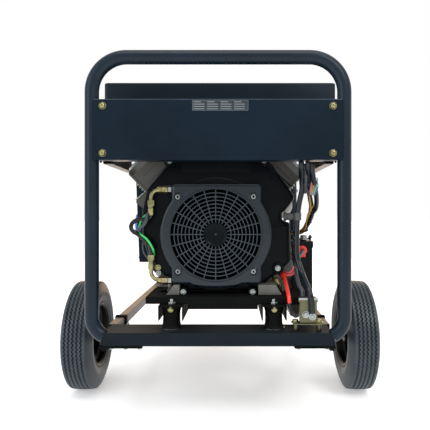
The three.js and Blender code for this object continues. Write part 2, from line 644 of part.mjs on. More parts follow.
// Control panel box on the left side, its face leaning out at the top
const PANEL_BOX = { y0: back(365), y1: back(800), low: 346, high: 604, xTop: -259, xLow: -249, xIn: -205 };
const faceX = (z) => {
  const rise = (z - PANEL_BOX.low) / (PANEL_BOX.high - PANEL_BOX.low);
  return PANEL_BOX.xLow + rise * (PANEL_BOX.xTop - PANEL_BOX.xLow);
};
const faceLean = Math.atan2(PANEL_BOX.xLow - PANEL_BOX.xTop, PANEL_BOX.high - PANEL_BOX.low);
// Fittings are drawn with local +Z pointing out of the leaning face
function facePlace(y, z, lift = 0) {
  const turn = new THREE.Matrix4().makeRotationY(-Math.PI / 2 - faceLean);
  const out = new THREE.Vector3(0, 0, lift).applyMatrix4(turn);
  return turn.setPosition(faceX(z) + out.x, y, z + out.z);
}
function onPanel(name, geometry, finish, y, z) {
  place(name, geometry.applyMatrix4(facePlace(y, z, GAP)), finish);
}
const BREAKER = { y: back(720), z: 455 };
const KEY = { y: back(735), z: 545 };
{
  const { y0, y1, low, high, xTop, xLow, xIn } = PANEL_BOX;
  const shape = outline([[xLow, low], [xIn, low], [xIn, high], [xTop, high]]);
  const breaker = box(-26, 26, -18, 18, -3, 12).applyMatrix4(facePlace(BREAKER.y, BREAKER.z));
  const lock = rod("z", 13, 11, 0, 0, 2.5, 20).applyMatrix4(facePlace(KEY.y, KEY.z));
  place("control_panel", join(slabY(shape, y0, y1), breaker, lock), "frame");
}
const socketProfile = (r, depth) => [
  [0, 0], [r + 5, 0], [r + 5, 6], [r, 6], [r - 3, depth], [r - 8, depth], [r - 8, 4], [0, 4],
];
onPanel("socket_blue", turned("z", socketProfile(33, 9), 0, 0, 0, 28), "blue", back(400), 455);
onPanel("socket_black", turned("z", socketProfile(25, 14), 0, 0, 0, 24), "plastic", back(520), 455);
onPanel("breaker_switch", box(-3.5, 3.5, -5, 5, 13.7, 24), "black", BREAKER.y, BREAKER.z);
const key = join(rod("z", 5, 8, 0, 0, 12, 12), box(-3, 3, -11, 11, 15, 34));
onPanel("ignition_key", key, "black", KEY.y, KEY.z);

// Air cleaner between the cylinders, under the tank
{
  const y = back(300);
  const [cx] = crankPoint(0, 0);
  const shape = roundedRect(cx - 92, cx + 92, 628, 692, 16);
  const throat = box(cx - 26, cx + 26, y - 26, y + 26, 556, 630);
  place("air_cleaner", join(slabY(shape, y - 80, y + 80, 4), throat), "plastic");
}

// Silencer behind the right cylinder, along the alternator, on the exhaust pipe from each cylinder
{
  const y0 = back(470);
  const z = 520;
  const profile = [[0, 0], [38, 0], [46, 8], [46, 292], [38, 300], [0, 300]];
  const can = turned("y", profile, 178, y0, z, 28);
  const run = [[150, back(310), 520], [178, back(350), 520], [178, y0 + 5, 520]];
  place("silencer", join(can, pipe(run, 14, 30, 14, 4)), "cast");
}

// Spin-on oil filter
place("oil_filter", rod("y", 32, 84, -163, back(300), 350, 20), "black");

// --- Hoses and cables, each held at both ends ---------------------------------------------------
// Oil cooler lines: a steel elbow at the cover, a crimped sleeve, then rubber hose between the two
const LINE = { x: -120, y: back(78), upper: 550, lower: 331, drop: -165 };
{
  const { x, y, upper, lower, drop } = LINE;
  const top = pipe([[x, y, upper], [drop, y, upper], [drop, y, 490]], 7, 24, 10, 4);
  const bottom = pipe([[x, y, lower], [drop, y, lower], [drop, y, 391]], 7, 24, 10, 4);
  const hose = cable([
    [drop, y, 494], [drop - 1, y, 485], [drop - 12, y + 4, 477], [drop - 32, y + 6, 478],
    [drop - 48, y + 4, 467], [drop - 48, y + 2, 453], [drop - 36, y + 2, 444], [drop - 18, y, 431],
    [drop - 4, y, 415], [drop, y, 402], [drop, y, 388],
  ], 6, 30, 8);
  place("cooler_line", join(top, hose, bottom), "rubber");
}

// Leads between the relay's posts, the battery, the starter and the loom under the tank
const LOOM_Z = PANEL.low - 1.5;
place("battery_cable", cable([
  [BOOT.x, BATTERY.y0 - BOOT.depth - 1.6, BOOT.z], [BOOT.x, back(156), BOOT.z],
  [206, back(136), 390], [190, back(96), 372], [185, back(64), 348], [188, back(35), 325],
  [194, back(19), 313], [194, back(17), RELAY.high + 1.5],
], 4.5, 34), "black");
place("main_cable", cable([
  [190, back(8), LOOM_Z], [190, back(9), 600], [195, back(38), 571], [197, back(50), 548],
  [190.5, back(56), 512], [187, back(62), 467], [186, back(62), 417], [187, back(60), 388],
  [191, back(55), 370], [197, back(43), 350], [203, back(18), 330], [208, back(-2), 312],
  [212, back(-5), 290], [RELAY_STUD.x, back(-5), RELAY_STUD.z + 6.5],
], 6.5, 40, 10), "black");
place("starter_cable", cable([
  [156, back(138), 350], [158, back(128), 347], [162, back(100), 328], [163, back(62), 313],
  [163, back(24), 300], [165, back(18), 280], [170, back(14), 263], [177, back(12), 257],
  [182, back(12), 258.5], [184.3, back(12), 259],
], 4.5, 34), "red");
place("control_harness", cable([
  [205, back(8), LOOM_Z], [205, back(9), 600], [211, back(34), 575], [219, back(72), 536],
  [227, back(100), 506], [228, back(150), 474], [226, back(220), 448], [212, back(290), 436],
  [185, back(322), 437], [150, back(322), 440], [111, back(322), 440],
], 6, 36), "black");

export default group;
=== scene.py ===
"""Open-frame portable generator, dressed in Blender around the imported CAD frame. Metres, +Z up."""
import json
import math

import bmesh
import bpy
from mathutils import Matrix, Vector

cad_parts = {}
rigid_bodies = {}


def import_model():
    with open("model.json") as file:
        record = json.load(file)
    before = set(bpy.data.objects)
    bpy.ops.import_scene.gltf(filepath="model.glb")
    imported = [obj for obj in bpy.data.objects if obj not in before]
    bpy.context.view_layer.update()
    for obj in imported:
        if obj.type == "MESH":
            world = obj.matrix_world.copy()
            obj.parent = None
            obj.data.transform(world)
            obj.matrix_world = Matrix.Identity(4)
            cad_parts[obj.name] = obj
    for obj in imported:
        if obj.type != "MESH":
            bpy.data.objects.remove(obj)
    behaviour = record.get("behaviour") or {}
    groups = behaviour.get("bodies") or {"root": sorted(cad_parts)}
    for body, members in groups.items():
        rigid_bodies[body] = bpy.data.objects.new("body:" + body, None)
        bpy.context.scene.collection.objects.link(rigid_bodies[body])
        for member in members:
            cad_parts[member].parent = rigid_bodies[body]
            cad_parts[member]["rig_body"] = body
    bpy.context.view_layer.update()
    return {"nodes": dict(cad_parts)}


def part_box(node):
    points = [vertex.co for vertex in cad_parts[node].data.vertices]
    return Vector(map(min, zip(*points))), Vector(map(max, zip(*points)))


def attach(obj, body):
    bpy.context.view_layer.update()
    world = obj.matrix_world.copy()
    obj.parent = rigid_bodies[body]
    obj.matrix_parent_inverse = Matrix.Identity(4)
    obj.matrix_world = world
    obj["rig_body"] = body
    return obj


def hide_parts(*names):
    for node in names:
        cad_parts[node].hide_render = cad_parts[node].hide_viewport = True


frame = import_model()

MM = 0.001
FRONT_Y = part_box("front_panel")[0].y  # the front panel's face
TUBE_R = 0.016
HOOP_Y = FRONT_Y + 0.0023 + TUBE_R
REAR_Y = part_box("rear_panel")[1].y - 0.0023 - TUBE_R
POST_X = 0.2865
HOOP_TOP = 0.863
HOOP_FOOT, HOOP_END = 0.21, 0.2585  # the lower tube ends: their height, and how far out they stop
LOW_BEND, TOP_BEND = 0.048, 0.079
PANEL_BOLT_X, PANEL_BOLT_Z = 0.2575, (0.6275, 0.733)
CRANK = Vector((-0.008, 0, 0.442))


def back(mm):
    """A distance in millimetres behind the front hoop's centreline, as a Y in metres."""
    return HOOP_Y + mm * MM


def spot_at(x, behind, z):
    """A point from millimetres: across, behind the front hoop's centreline, and up."""
    return Vector((x * MM, back(behind), z * MM))


# --- Camera, lights and floor --------------------------------------------------------------------
CAMERA_BACK = 1.135
CAMERA_X, CAMERA_Z = 0.0384, 0.4935
SENSOR_MM, LENS_MM = 36, 41.8605
LENS_SHIFT = (-0.04651, -0.00465)  # shares of the frame's width


def make_camera():
    data = bpy.data.cameras.new("camera")
    data.sensor_width = SENSOR_MM
    data.lens = LENS_MM
    data.shift_x, data.shift_y = LENS_SHIFT
    camera = bpy.data.objects.new("camera", data)
    camera.location = (CAMERA_X, HOOP_Y - CAMERA_BACK, CAMERA_Z)
    camera.rotation_euler = (math.pi / 2, 0, 0)
    bpy.context.scene.collection.objects.link(camera)
    bpy.context.scene.camera = camera


def area_light(name, location, target, size, power, color=(1, 1, 1)):
    data = bpy.data.lights.new(name, "AREA")
    data.shape = "RECTANGLE"
    data.size, data.size_y = size
    data.energy = power
    data.color = color
    light = bpy.data.objects.new(name, data)
    light.location = location
    light.rotation_euler = (Vector(target) - Vector(location)).to_track_quat("-Z", "Y").to_euler()
    light.visible_camera = False
    bpy.context.scene.collection.objects.link(light)


def make_stage():
    world = bpy.data.worlds.new("studio")
    world.use_nodes = True
    background = world.node_tree.nodes["Background"]
    background.inputs["Color"].default_value = (1, 1, 1, 1)
    background.inputs["Strength"].default_value = 1.0
    bpy.context.scene.world = world
    bpy.context.scene.view_settings.view_transform = "Standard"
    mesh = bpy.data.meshes.new("floor")
    mesh.from_pydata([(-30, -30, 0), (30, -30, 0), (30, 30, 0), (-30, 30, 0)], [], [(0, 1, 2, 3)])
    floor = bpy.data.objects.new("floor", mesh)
    bpy.context.scene.collection.objects.link(floor)
    material = bpy.data.materials.new("floor")
    material.use_nodes = True
    shader = material.node_tree.nodes["Principled BSDF"]
    shader.inputs["Base Color"].default_value = (0.95, 0.95, 0.95, 1)
    shader.inputs["Emission Color"].default_value = (1, 1, 1, 1)
    shader.inputs["Emission Strength"].default_value = 0.36
    shader.inputs["Roughness"].default_value = 0.9
    shader.inputs["Specular IOR Level"].default_value = 0.1
    mesh.materials.append(material)
    area_light("key", (1.5, -2.4, 2.3), (0, -0.4, 0.45), (0.9, 0.7), 27)
    area_light("fill", (-2.2, -2.2, 1.2), (0, -0.3, 0.45), (1.4, 1.8), 24, (0.86, 0.93, 1))
    area_light("top", (0.1, -1.3, 2.9), (0, -0.3, 0.5), (2.2, 1.2), 34)
    area_light("warm_wall", (0, 3.6, 0.9), (0, 0, 0.45), (4.6, 1.7), 34, (1, 0.5, 0.15))


make_camera()
make_stage()


# --- Mesh building -------------------------------------------------------------------------------
def from_bmesh(name, bm, material, slot=None, replaces=(), sharp=35, bevel=0, segments=2, body="frame"):
    """Closes a bmesh into a piece that rides on a body, with smooth shading broken at sharp edges."""
    bmesh.ops.remove_doubles(bm, verts=bm.verts, dist=1e-6)
    bmesh.ops.recalc_face_normals(bm, faces=bm.faces)
    mesh = bpy.data.meshes.new(name)
    bm.to_mesh(mesh)
    bm.free()
    mesh.materials.append(material)
    mesh.polygons.foreach_set("use_smooth", [True] * len(mesh.polygons))
    mesh.set_sharp_from_angle(angle=math.radians(sharp))
    piece = bpy.data.objects.new(name, mesh)
    bpy.context.scene.collection.objects.link(piece)
    if bevel:
        edge = piece.modifiers.new("edge", "BEVEL")
        edge.width = bevel
        edge.segments = segments
        edge.limit_method = "ANGLE"
        edge.angle_limit = math.radians(38)
        edge.harden_normals = True
        edge.use_clamp_overlap = True
    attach(piece, body)
    if replaces:
        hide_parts(*replaces)
    return piece


def add_mesh(bm, verts, faces):
    made = [bm.verts.new(v) for v in verts]
    for face in faces:
        if len(set(face)) > 2:
            try:
                bm.faces.new([made[i] for i in face])
            except ValueError:
                pass
    return made


def frame_at(axis):
    """Rotation whose local +Z is the axis."""
    z = Vector(axis).normalized()
    x = Vector((0, 0, 1)) if abs(z.z) < 0.9 else Vector((0, 1, 0))
    x = (x - z * x.dot(z)).normalized()
    return Matrix((x, z.cross(x), z)).transposed().to_4x4()


def lathe(bm, profile, origin, axis, segments=48, closed=False):
    """Turns (radius, distance along the axis) points about the axis through origin."""
    place = Matrix.Translation(origin) @ frame_at(axis)
    rows = []
    for r, d in profile:
        if r < 1e-7:
            rows.append([bm.verts.new(place @ Vector((0, 0, d)))] * segments)
            continue
        turn = [2 * math.pi * k / segments for k in range(segments)]
        rows.append([bm.verts.new(place @ Vector((r * math.cos(t), r * math.sin(t), d))) for t in turn])
    pairs = list(zip(rows, rows[1:]))
    if closed:
        pairs.append((rows[-1], rows[0]))
    for a, b in pairs:
        for k in range(segments):
            n = (k + 1) % segments
            ring = []
            for v in (a[k], a[n], b[n], b[k]):
                if v not in ring:
                    ring.append(v)
            if len(ring) > 2:
                bm.faces.new(ring)
    if not closed:
        for row in (rows[0], rows[-1]):
            if row[0] is not row[1]:
                bm.faces.new(row)


def rod(bm, radius, length, origin, axis, segments):
    lathe(bm, [(0, 0), (radius, 0), (radius, length), (0, length)], origin, axis, segments)


def collar(bm, inner, outer, length, origin, axis, segments):
    lathe(bm, [(inner, 0), (outer, 0), (outer, length), (inner, length)], origin, axis, segments, closed=True)


def turned(name, profile, origin, axis, segments, material, slot=None, **how):
    """A piece that is one lathe."""
    bm = bmesh.new()
    lathe(bm, profile, origin, axis, segments)
    return from_bmesh(name, bm, material, slot, **how)


def bridge(bm, rings):
    """Quads between each closed ring of vertices and the next."""
    for a, b in zip(rings, rings[1:]):
        for k in range(len(a)):
            n = (k + 1) % len(a)
            bm.faces.new([a[k], a[n], b[n], b[k]])


def smooth_path(points, step):
    """A Catmull-Rom curve through the points, resampled about every step metres."""
    pts = [Vector(p) for p in points]
    ends = [pts[0] * 2 - pts[1], *pts, pts[-1] * 2 - pts[-2]]
    out = []
    for a, b, c, d in zip(ends, ends[1:], ends[2:], ends[3:]):
        count = max(2, int((c - b).length / step))
        for k in range(count):
            t = k / count
            out.append(0.5 * ((2 * b) + (c - a) * t + (2 * a - 5 * b + 4 * c - d) * t**2
                              + (3 * b - a - 3 * c + d) * t**3))
    return [*out, pts[-1]]


def bent_path(corners, radii, steps=14):
    """Straight runs joined by round bends."""
    pts = [Vector(p) for p in corners]
    if not isinstance(radii, (list, tuple)):
        radii = [radii] * (len(pts) - 2)
    out = [pts[0]]
    for a, p, b, r in zip(pts, pts[1:], pts[2:], radii):
        u, v = (a - p).normalized(), (b - p).normalized()
        half = u.angle(v) / 2
        centre = p + (u + v).normalized() * r / math.sin(half)
        start = p + u * r / math.tan(half) - centre
        axis = u.cross(v).normalized()
        for k in range(steps + 1):
            turn = Matrix.Rotation(-(math.pi - 2 * half) * k / steps, 3, axis)
            out.append(turn @ start + centre)
    return [*out, pts[-1]]


def tube(bm, path, radius, sides=24):
    """Sweeps a round section along a path. radius may be a function of the share of the length."""
    size = radius if callable(radius) else (lambda share: radius)
    tangents = []
    for i, p in enumerate(path):
        ahead = path[min(i + 1, len(path) - 1)]
        behind = path[max(i - 1, 0)]
        tangents.append((ahead - behind).normalized())
    normal = frame_at(tangents[0]).to_3x3().col[0]
    rows = []
    for i, (p, t) in enumerate(zip(path, tangents)):
        normal = (normal - t * normal.dot(t)).normalized()
        side = t.cross(normal)
        r = size(i / (len(path) - 1))
        angles = [2 * math.pi * k / sides for k in range(sides)]
        rows.append([bm.verts.new(p + (normal * math.cos(a) + side * math.sin(a)) * r) for a in angles])
    bridge(bm, rows)
    bm.faces.new(rows[0])
    bm.faces.new(rows[-1][::-1])


def block(bm, low, high, matrix=None):
    xs, ys, zs = zip(low, high)
    verts = [Vector((x, y, z)) for x in xs for y in ys for z in zs]
    if matrix:
        verts = [matrix @ v for v in verts]
    add_mesh(bm, verts, [(0, 1, 3, 2), (4, 6, 7, 5), (0, 4, 5, 1), (2, 3, 7, 6), (0, 2, 6, 4), (1, 5, 7, 3)])


def prism(bm, outline, low, high, matrix):
    """An outline in local X-Y pushed from low to high along local Z."""
    n = len(outline)
    verts = [matrix @ Vector((x, y, low)) for x, y in outline]
    verts += [matrix @ Vector((x, y, high)) for x, y in outline]
    faces = [tuple(range(n))[::-1], tuple(range(n, 2 * n))]
    faces += [(i, (i + 1) % n, n + (i + 1) % n, n + i) for i in range(n)]
    add_mesh(bm, verts, faces)


def polar(r, degrees):
    turn = math.radians(degrees)
    return r * math.cos(turn), r * math.sin(turn)


def hexagon(r, start=0):
    return [polar(r, 60 * k + start) for k in range(6)]


def extruded(name, outline, low, high, matrix, material, slot=None, **how):
    """A piece that is one prism."""
    bm = bmesh.new()
    prism(bm, outline, low, high, matrix)
    return from_bmesh(name, bm, material, slot, **how)


def arc(cx, cy, r, start, end, steps):
    turn = [math.radians(start + (end - start) * k / steps) for k in range(steps + 1)]
    return [(cx + r * math.cos(t), cy + r * math.sin(t)) for t in turn]


def rounded(x0, x1, y0, y1, r, steps=6):
    return [*arc(x1 - r, y1 - r, r, 0, 90, steps), *arc(x0 + r, y1 - r, r, 90, 180, steps),
            *arc(x0 + r, y0 + r, r, 180, 270, steps), *arc(x1 - r, y0 + r, r, 270, 360, steps)]


# local X-Y to world X-Z, local Z towards -Y (out of the front)
FACING_FRONT = Matrix(((1, 0, 0, 0), (0, 0, -1, 0), (0, 1, 0, 0), (0, 0, 0, 1)))


def facing_front(x, y, z):
    return Matrix.Translation((x, y, z)) @ FACING_FRONT


def refined(node, material, bevel=0.0008, slot=None, segments=2, sharp=35):
    """The CAD node's own shape with its edges eased, standing for it."""
    bm = bmesh.new()
    bm.from_mesh(frame["nodes"][node].data)
    bmesh.ops.remove_doubles(bm, verts=bm.verts, dist=2e-6)
    bmesh.ops.dissolve_limit(bm, angle_limit=math.radians(1), verts=bm.verts, edges=bm.edges)
    body = frame["nodes"][node]["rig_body"]
    return from_bmesh(node + "_finished", bm, material, slot, (node,), sharp, bevel, segments, body)


# --- Materials -----------------------------------------------------------------------------------
def surface(name, color, rough, metal=0.0, vary=0.18, cloud=9.0, grain=900.0, depth=0.0001,
            specular=0.5, stretch=(1, 1, 1), dust=0.0):
    """A finish with cloudy colour and gloss, settled dust on upward faces and a fine real-scale grain."""
    material = bpy.data.materials.new(name)
    material.use_nodes = True
    nodes, link = material.node_tree.nodes, material.node_tree.links.new

    def node(kind, **values):
        made = nodes.new("ShaderNode" + kind)
        for socket, value in values.items():
            made.inputs[socket.replace("_", " ")].default_value = value
        return made

    shader = nodes["Principled BSDF"]
    shader.inputs["Metallic"].default_value = metal
    shader.inputs["Specular IOR Level"].default_value = specular
    place = node("TexCoord")
    cloudy = node("TexNoise", Scale=cloud, Detail=6, Roughness=0.62)
    link(place.outputs["Object"], cloudy.inputs["Vector"])
    tint = node("ValToRGB")
    darker, lighter = tint.color_ramp.elements
    darker.position, lighter.position = 0.3, 0.72
    darker.color = [*(c * (1 - vary) for c in color), 1]
    lighter.color = [*(min(1, c * (1 + vary)) for c in color), 1]
    link(cloudy.outputs["Fac"], tint.inputs["Fac"])
    out = tint.outputs["Color"]
    if dust:
        facing = node("NewGeometry")
        split = node("SeparateXYZ")
        link(facing.outputs["Normal"], split.inputs["Vector"])
        amount = node("MapRange", From_Min=0.35, From_Max=1.0, To_Max=dust)
        link(split.outputs["Z"], amount.inputs["Value"])
        speckle = node("Math")
        speckle.operation = "MULTIPLY"
        link(amount.outputs["Result"], speckle.inputs[0])
        link(cloudy.outputs["Fac"], speckle.inputs[1])
        mix = node("Mix")
        mix.data_type = "RGBA"
        mix.inputs["B"].default_value = (0.3, 0.27, 0.22, 1)
        link(speckle.outputs["Value"], mix.inputs["Factor"])
        link(out, mix.inputs["A"])
        out = mix.outputs["Result"]
    link(out, shader.inputs["Base Color"])
    gloss = node("MapRange", To_Min=max(0.03, rough - 0.08), To_Max=min(1.0, rough + 0.08))
    link(cloudy.outputs["Fac"], gloss.inputs["Value"])
    link(gloss.outputs["Result"], shader.inputs["Roughness"])
    along = node("Mapping", Scale=stretch)
    link(place.outputs["Object"], along.inputs["Vector"])
    fine = node("TexNoise", Scale=grain, Detail=3)
    link(along.outputs["Vector"], fine.inputs["Vector"])
    bump = node("Bump", Distance=depth, Strength=0.6)
    link(fine.outputs["Fac"], bump.inputs["Height"])
    link(bump.outputs["Normal"], shader.inputs["Normal"])
    return material


POWDER = surface("powder_coat", (0.004, 0.01, 0.0175), 0.32, vary=0.22, grain=420, dust=0.03, specular=0.18)
# Rail coat: near-black with a warm tinge in its colour and a tan Specular Tint, a painted warm reflection on
# the rails.
WARM_REFLECTION_RAIL_COAT = surface("rail_coat_painted_warm_reflection", (0.0062, 0.0056, 0.0044), 0.4, vary=0.25, cloud=14, grain=420, dust=0.06,
                    specular=0.4)
WARM_REFLECTION_RAIL_COAT.node_tree.nodes["Principled BSDF"].inputs["Specular Tint"].default_value = (1.0, 0.8, 0.56, 1)
DULL_COAT = surface("crossmember_coat", (0.0042, 0.0082, 0.011), 0.6, vary=0.25, cloud=12, grain=420,
                    specular=0.1)
BLACK_COAT = surface("engine_base_coat", (0.0022, 0.0025, 0.0025), 0.78, vary=0.3, cloud=16, grain=420,
                     specular=0.08)
# Bright blue-grey paint for a thin strip on the front panel's upper edge: a painted highlight.
PAINTED_EDGE_HIGHLIGHT = surface("panel_edge_highlight_paint", (0.022, 0.04, 0.06), 0.34, vary=0.4, cloud=30, grain=480, depth=0.00008,
                    specular=0.4)
PANEL_PAINT = surface("panel_coat", (0.0026, 0.008, 0.015), 0.38, vary=0.3, cloud=5, grain=480, depth=0.00008,
                      specular=0.09)
TANK_PAINT = surface("tank_paint", (0.002, 0.0068, 0.0125), 0.36, vary=0.2, cloud=4, grain=300, depth=0.00005,
                     dust=0.03, specular=0.14)
ENAMEL = surface("black_enamel", (0.006, 0.007, 0.0075), 0.3, vary=0.25, grain=500, dust=0.05, specular=0.3)
COWL_PLASTIC = surface("cowl_plastic", (0.0016, 0.0026, 0.0036), 0.32, vary=0.16, specular=0.07)
COVER_PLASTIC = surface("cover_plastic", (0.0038, 0.0085, 0.014), 0.29, vary=0.14, grain=1100, specular=0.34)
RUBBER = surface("moulded_rubber", (0.0022, 0.0022, 0.0022), 0.6, vary=0.3, depth=0.00015, dust=0.05,
                 specular=0.06)
TYRE = surface("tyre_rubber", (0.02, 0.03, 0.0385), 0.4, vary=0.35, cloud=22, grain=1300, depth=0.00012,
               dust=0.06, specular=0.4)
SHROUD = surface("shroud_paint", (0.044, 0.043, 0.038), 0.3, vary=0.2, grain=500)
CAST = surface("cast_aluminium", (0.33, 0.34, 0.34), 0.5, metal=0.75, vary=0.3, cloud=30, grain=650,
               depth=0.00035)
# A darker, less metallic copy of the cast aluminium: painted shade on the engine feet below the cowl.
SHADED_FOOT_CAST = surface("foot_casting_painted_shade", (0.095, 0.095, 0.085), 0.52, metal=0.4, vary=0.35, cloud=30, grain=650,
                    depth=0.00016, specular=0.3)
DARK_CAST = surface("dark_casting", (0.06, 0.062, 0.062), 0.56, metal=0.5, vary=0.35, cloud=26, grain=650,
                    depth=0.00035)
ZINC = surface("bright_zinc", (0.27, 0.29, 0.28), 0.26, metal=1, vary=0.28, cloud=60, grain=1500,
               depth=0.00004)
YELLOW_ZINC = surface("yellow_zinc", (0.24, 0.23, 0.11), 0.3, metal=1, vary=0.4, cloud=55, grain=1400,
                      depth=0.00004)
BRASS = surface("brass_fitting", (0.3, 0.26, 0.13), 0.3, metal=1, vary=0.45, cloud=120, grain=1500,
                depth=0.00004)
STEEL = surface("turned_steel", (0.42, 0.42, 0.43), 0.34, metal=1, vary=0.15, grain=300, depth=0.00004,
                stretch=(1, 14, 1))
COPPER = surface("varnished_windings", (0.34, 0.13, 0.055), 0.4, metal=0.6, vary=0.4, cloud=90, grain=260,
                 depth=0.0005, stretch=(1, 6, 1))
EXHAUST = surface("aluminised_steel", (0.24, 0.23, 0.22), 0.45, metal=0.9, vary=0.35, cloud=14, grain=700)
CABLE = surface("cable_sheath", (0.0025, 0.0055, 0.0085), 0.26, vary=0.25, cloud=40, grain=600, depth=0.00006,
                specular=0.32)
GREY_CABLE = surface("grey_sheath", (0.026, 0.034, 0.042), 0.4, vary=0.2, cloud=40, grain=600, depth=0.00006)
HOSE = surface("braided_hose", (0.003, 0.0036, 0.0042), 0.24, vary=0.3, cloud=60, depth=0.0002, specular=0.34)
RED = surface("red_rubber", (0.72, 0.035, 0.016), 0.38, vary=0.15, cloud=30, grain=500, depth=0.00008)
PINK = surface("pink_wire", (0.62, 0.1, 0.13), 0.4, vary=0.15, cloud=30, grain=500, depth=0.00004)
GREEN = surface("green_wire", (0.02, 0.42, 0.085), 0.34, vary=0.2, cloud=30, grain=500, depth=0.00004)
AMBER = surface("yellow_wire", (0.32, 0.18, 0.03), 0.42, vary=0.3, cloud=30, grain=500, depth=0.00004)
BLUE = surface("blue_socket", (0.018, 0.065, 0.34), 0.38, vary=0.12, cloud=20, grain=700, depth=0.00006)
GREY_PLASTIC = surface("grey_plastic", (0.16, 0.17, 0.18), 0.45, vary=0.12, depth=0.00008)
WHITE_PLASTIC = surface("dial_face", (0.72, 0.72, 0.69), 0.4, vary=0.05, depth=0.00002)
# Near-black with no reflection: the black of the cooler core and seal with the shade behind the grille
# painted in, and the painted shade in the cover bolt sockets.
FLAT_BLACK_AND_SHADE = surface("flat_black_and_painted_shade", (0.0008, 0.0009, 0.001), 0.9, vary=0.3, depth=0.00002, specular=0.0)
GRILLE_PLASTIC = surface("grille_plastic", (0.015, 0.0245, 0.033), 0.36, vary=0.12, grain=1100, depth=0.00006,
                         specular=0.4)
OLIVE_ZINC = surface("olive_zinc", (0.105, 0.102, 0.06), 0.32, metal=0.9, vary=0.35, cloud=60, grain=1400,
                     depth=0.00004)
RIM_PAINT = surface("rim_enamel", (0.0035, 0.0039, 0.0037), 0.34, vary=0.25, grain=500, depth=0.00008,
                    specular=0.14)
LABEL = surface("label_film", (0.009, 0.014, 0.019), 0.3, vary=0.08, depth=0.00002)
LABEL_INK = surface("label_ink", (0.115, 0.135, 0.15), 0.4, vary=0.1, depth=0.00001)
BATTERY_CASE = surface("battery_case", (0.0022, 0.0035, 0.0045), 0.32, vary=0.15, specular=0.12)


# --- Fasteners -----------------------------------------------------------------------------------
def fastener(bm, centre, axis, head=0.0065, height=0.004, washer=0.0, flange=0.0, kind="hex"):
    """A head standing on the face at centre: hex, round (domed with a cross) or socket."""
    place = Matrix.Translation(centre) @ frame_at(axis)
    base = 0.0
    if washer:
        rod(bm, washer, 0.0012, place.translation, axis, 24)
        base = 0.0012
    start = place.translation + Vector(axis).normalized() * base
    if flange:
        lathe(bm, [(0, 0), (flange, 0), (flange * 0.9, 0.0012), (0, 0.0012)], start, axis, 24)
    if kind == "round":
        lathe(bm, [(0, 0), (head, 0), (head * 0.98, height * 0.3), (head * 0.82, height * 0.72),
                   (head * 0.55, height * 0.95), (head * 0.34, height), (head * 0.3, height * 0.55),
                   (0, height * 0.5)], start, axis, 24)
        return
    if kind == "socket":
        lathe(bm, [(0, 0), (head, 0), (head, height * 0.85), (head * 0.9, height), (head * 0.5, height),
                   (head * 0.5, height * 0.45), (0, height * 0.45)], start, axis, 24)
        return
    stand = Matrix.Translation(start) @ frame_at(axis)
    prism(bm, hexagon(head, 15), 0, height, stand)
    lathe(bm, [(0, height - 1e-4), (head * 0.62, height - 1e-4), (head * 0.55, height + 0.0009),
               (0, height + 0.0011)], start, axis, 20)


def fasteners(name, spots, axis, material, **how):
    bm = bmesh.new()
    for spot in spots:
        fastener(bm, Vector(spot), axis, **how)
    return from_bmesh(name, bm, material, None, (), 40, 0.0003, 1)


# --- Frame ---------------------------------------------------------------------------------------
def make_hoop(name, y, node):
    top = HOOP_TOP - TUBE_R
    corners = [(s * x, y, z) for s, x, z in ((-1, 0.219, HOOP_FOOT), (-1, POST_X, HOOP_FOOT),
                                             (-1, POST_X, top), (1, POST_X, top), (1, POST_X, HOOP_FOOT),
                                             (1, 0.219, HOOP_FOOT))]
    path = bent_path(corners, [LOW_BEND, TOP_BEND, TOP_BEND, LOW_BEND], 20)
    path = [p for p in path if abs(p.x) > HOOP_END or p.z > 0.4]
    bm = bmesh.new()
    tube(bm, path, TUBE_R, 40)
    if y > 0:  # pivot ears of the fold-down handles
        for s in (-1, 1):
            x = s * POST_X
            z = PIVOT_Z
            block(bm, (x - 0.018, y + TUBE_R - 0.004, z - 0.014), (x + 0.018, y + TUBE_R + 0.003, z + 0.014))
            for dx in (-0.016, 0.016):
                block(bm, (x + dx - 0.002, y + TUBE_R, z - 0.014),
                      (x + dx + 0.002, HANDLE_Y + 0.012, z + 0.014))
    return from_bmesh(name, bm, POWDER, "frame_paint", (node,), 40)


def weld(bm, centre, axis, radius, beads, size):
    """A ring of overlapping weld ripples round a joint."""
    place = Matrix.Translation(centre) @ frame_at(axis)
    for k in range(beads):
        spot = place @ Vector((*polar(radius, 360 * k / beads), 0))
        bmesh.ops.create_icosphere(bm, subdivisions=1, radius=size, matrix=Matrix.Translation(spot))


PIVOT_Z = 0.59
HANDLE_Y = REAR_Y + TUBE_R + 0.022
make_hoop("front_hoop_tube", HOOP_Y, "front_hoop")
make_hoop("rear_hoop_tube", REAR_Y, "rear_hoop")

bm = bmesh.new()
for y in (HOOP_Y, REAR_Y):
    for s in (-1, 1):
        weld(bm, (s * 0.2595, y, 0.2125), (1, 0, 0.25 * s), 0.0165, 30, 0.0024)
for s in (-1, 1):
    for z in (0.6155, 0.6225):
        for y in (HOOP_Y + 0.0095, REAR_Y - 0.0095):
            weld(bm, (s * 0.2688, y, z), (1, 0, 0), 0.006, 10, 0.002)
from_bmesh("hoop_welds", bm, POWDER, "frame_paint", sharp=60)

for node in ("lower_rail_left", "lower_rail_right", "upper_rail_left", "upper_rail_right"):
    refined(node, WARM_REFLECTION_RAIL_COAT, 0.0014, "frame_paint", 3)
for node in ("front_crossmember", "rear_crossmember", "alternator_crossmember"):
    refined(node, DULL_COAT, 0.0014, "frame_paint", 3)
for node in ("engine_rail_left", "engine_rail_right", "engine_base_plate", "axle_frame"):
    refined(node, BLACK_COAT, 0.0014, "frame_paint", 3)
for node in ("front_panel", "rear_panel"):
    refined(node, PANEL_PAINT, 0.0009, "frame_paint", 3)


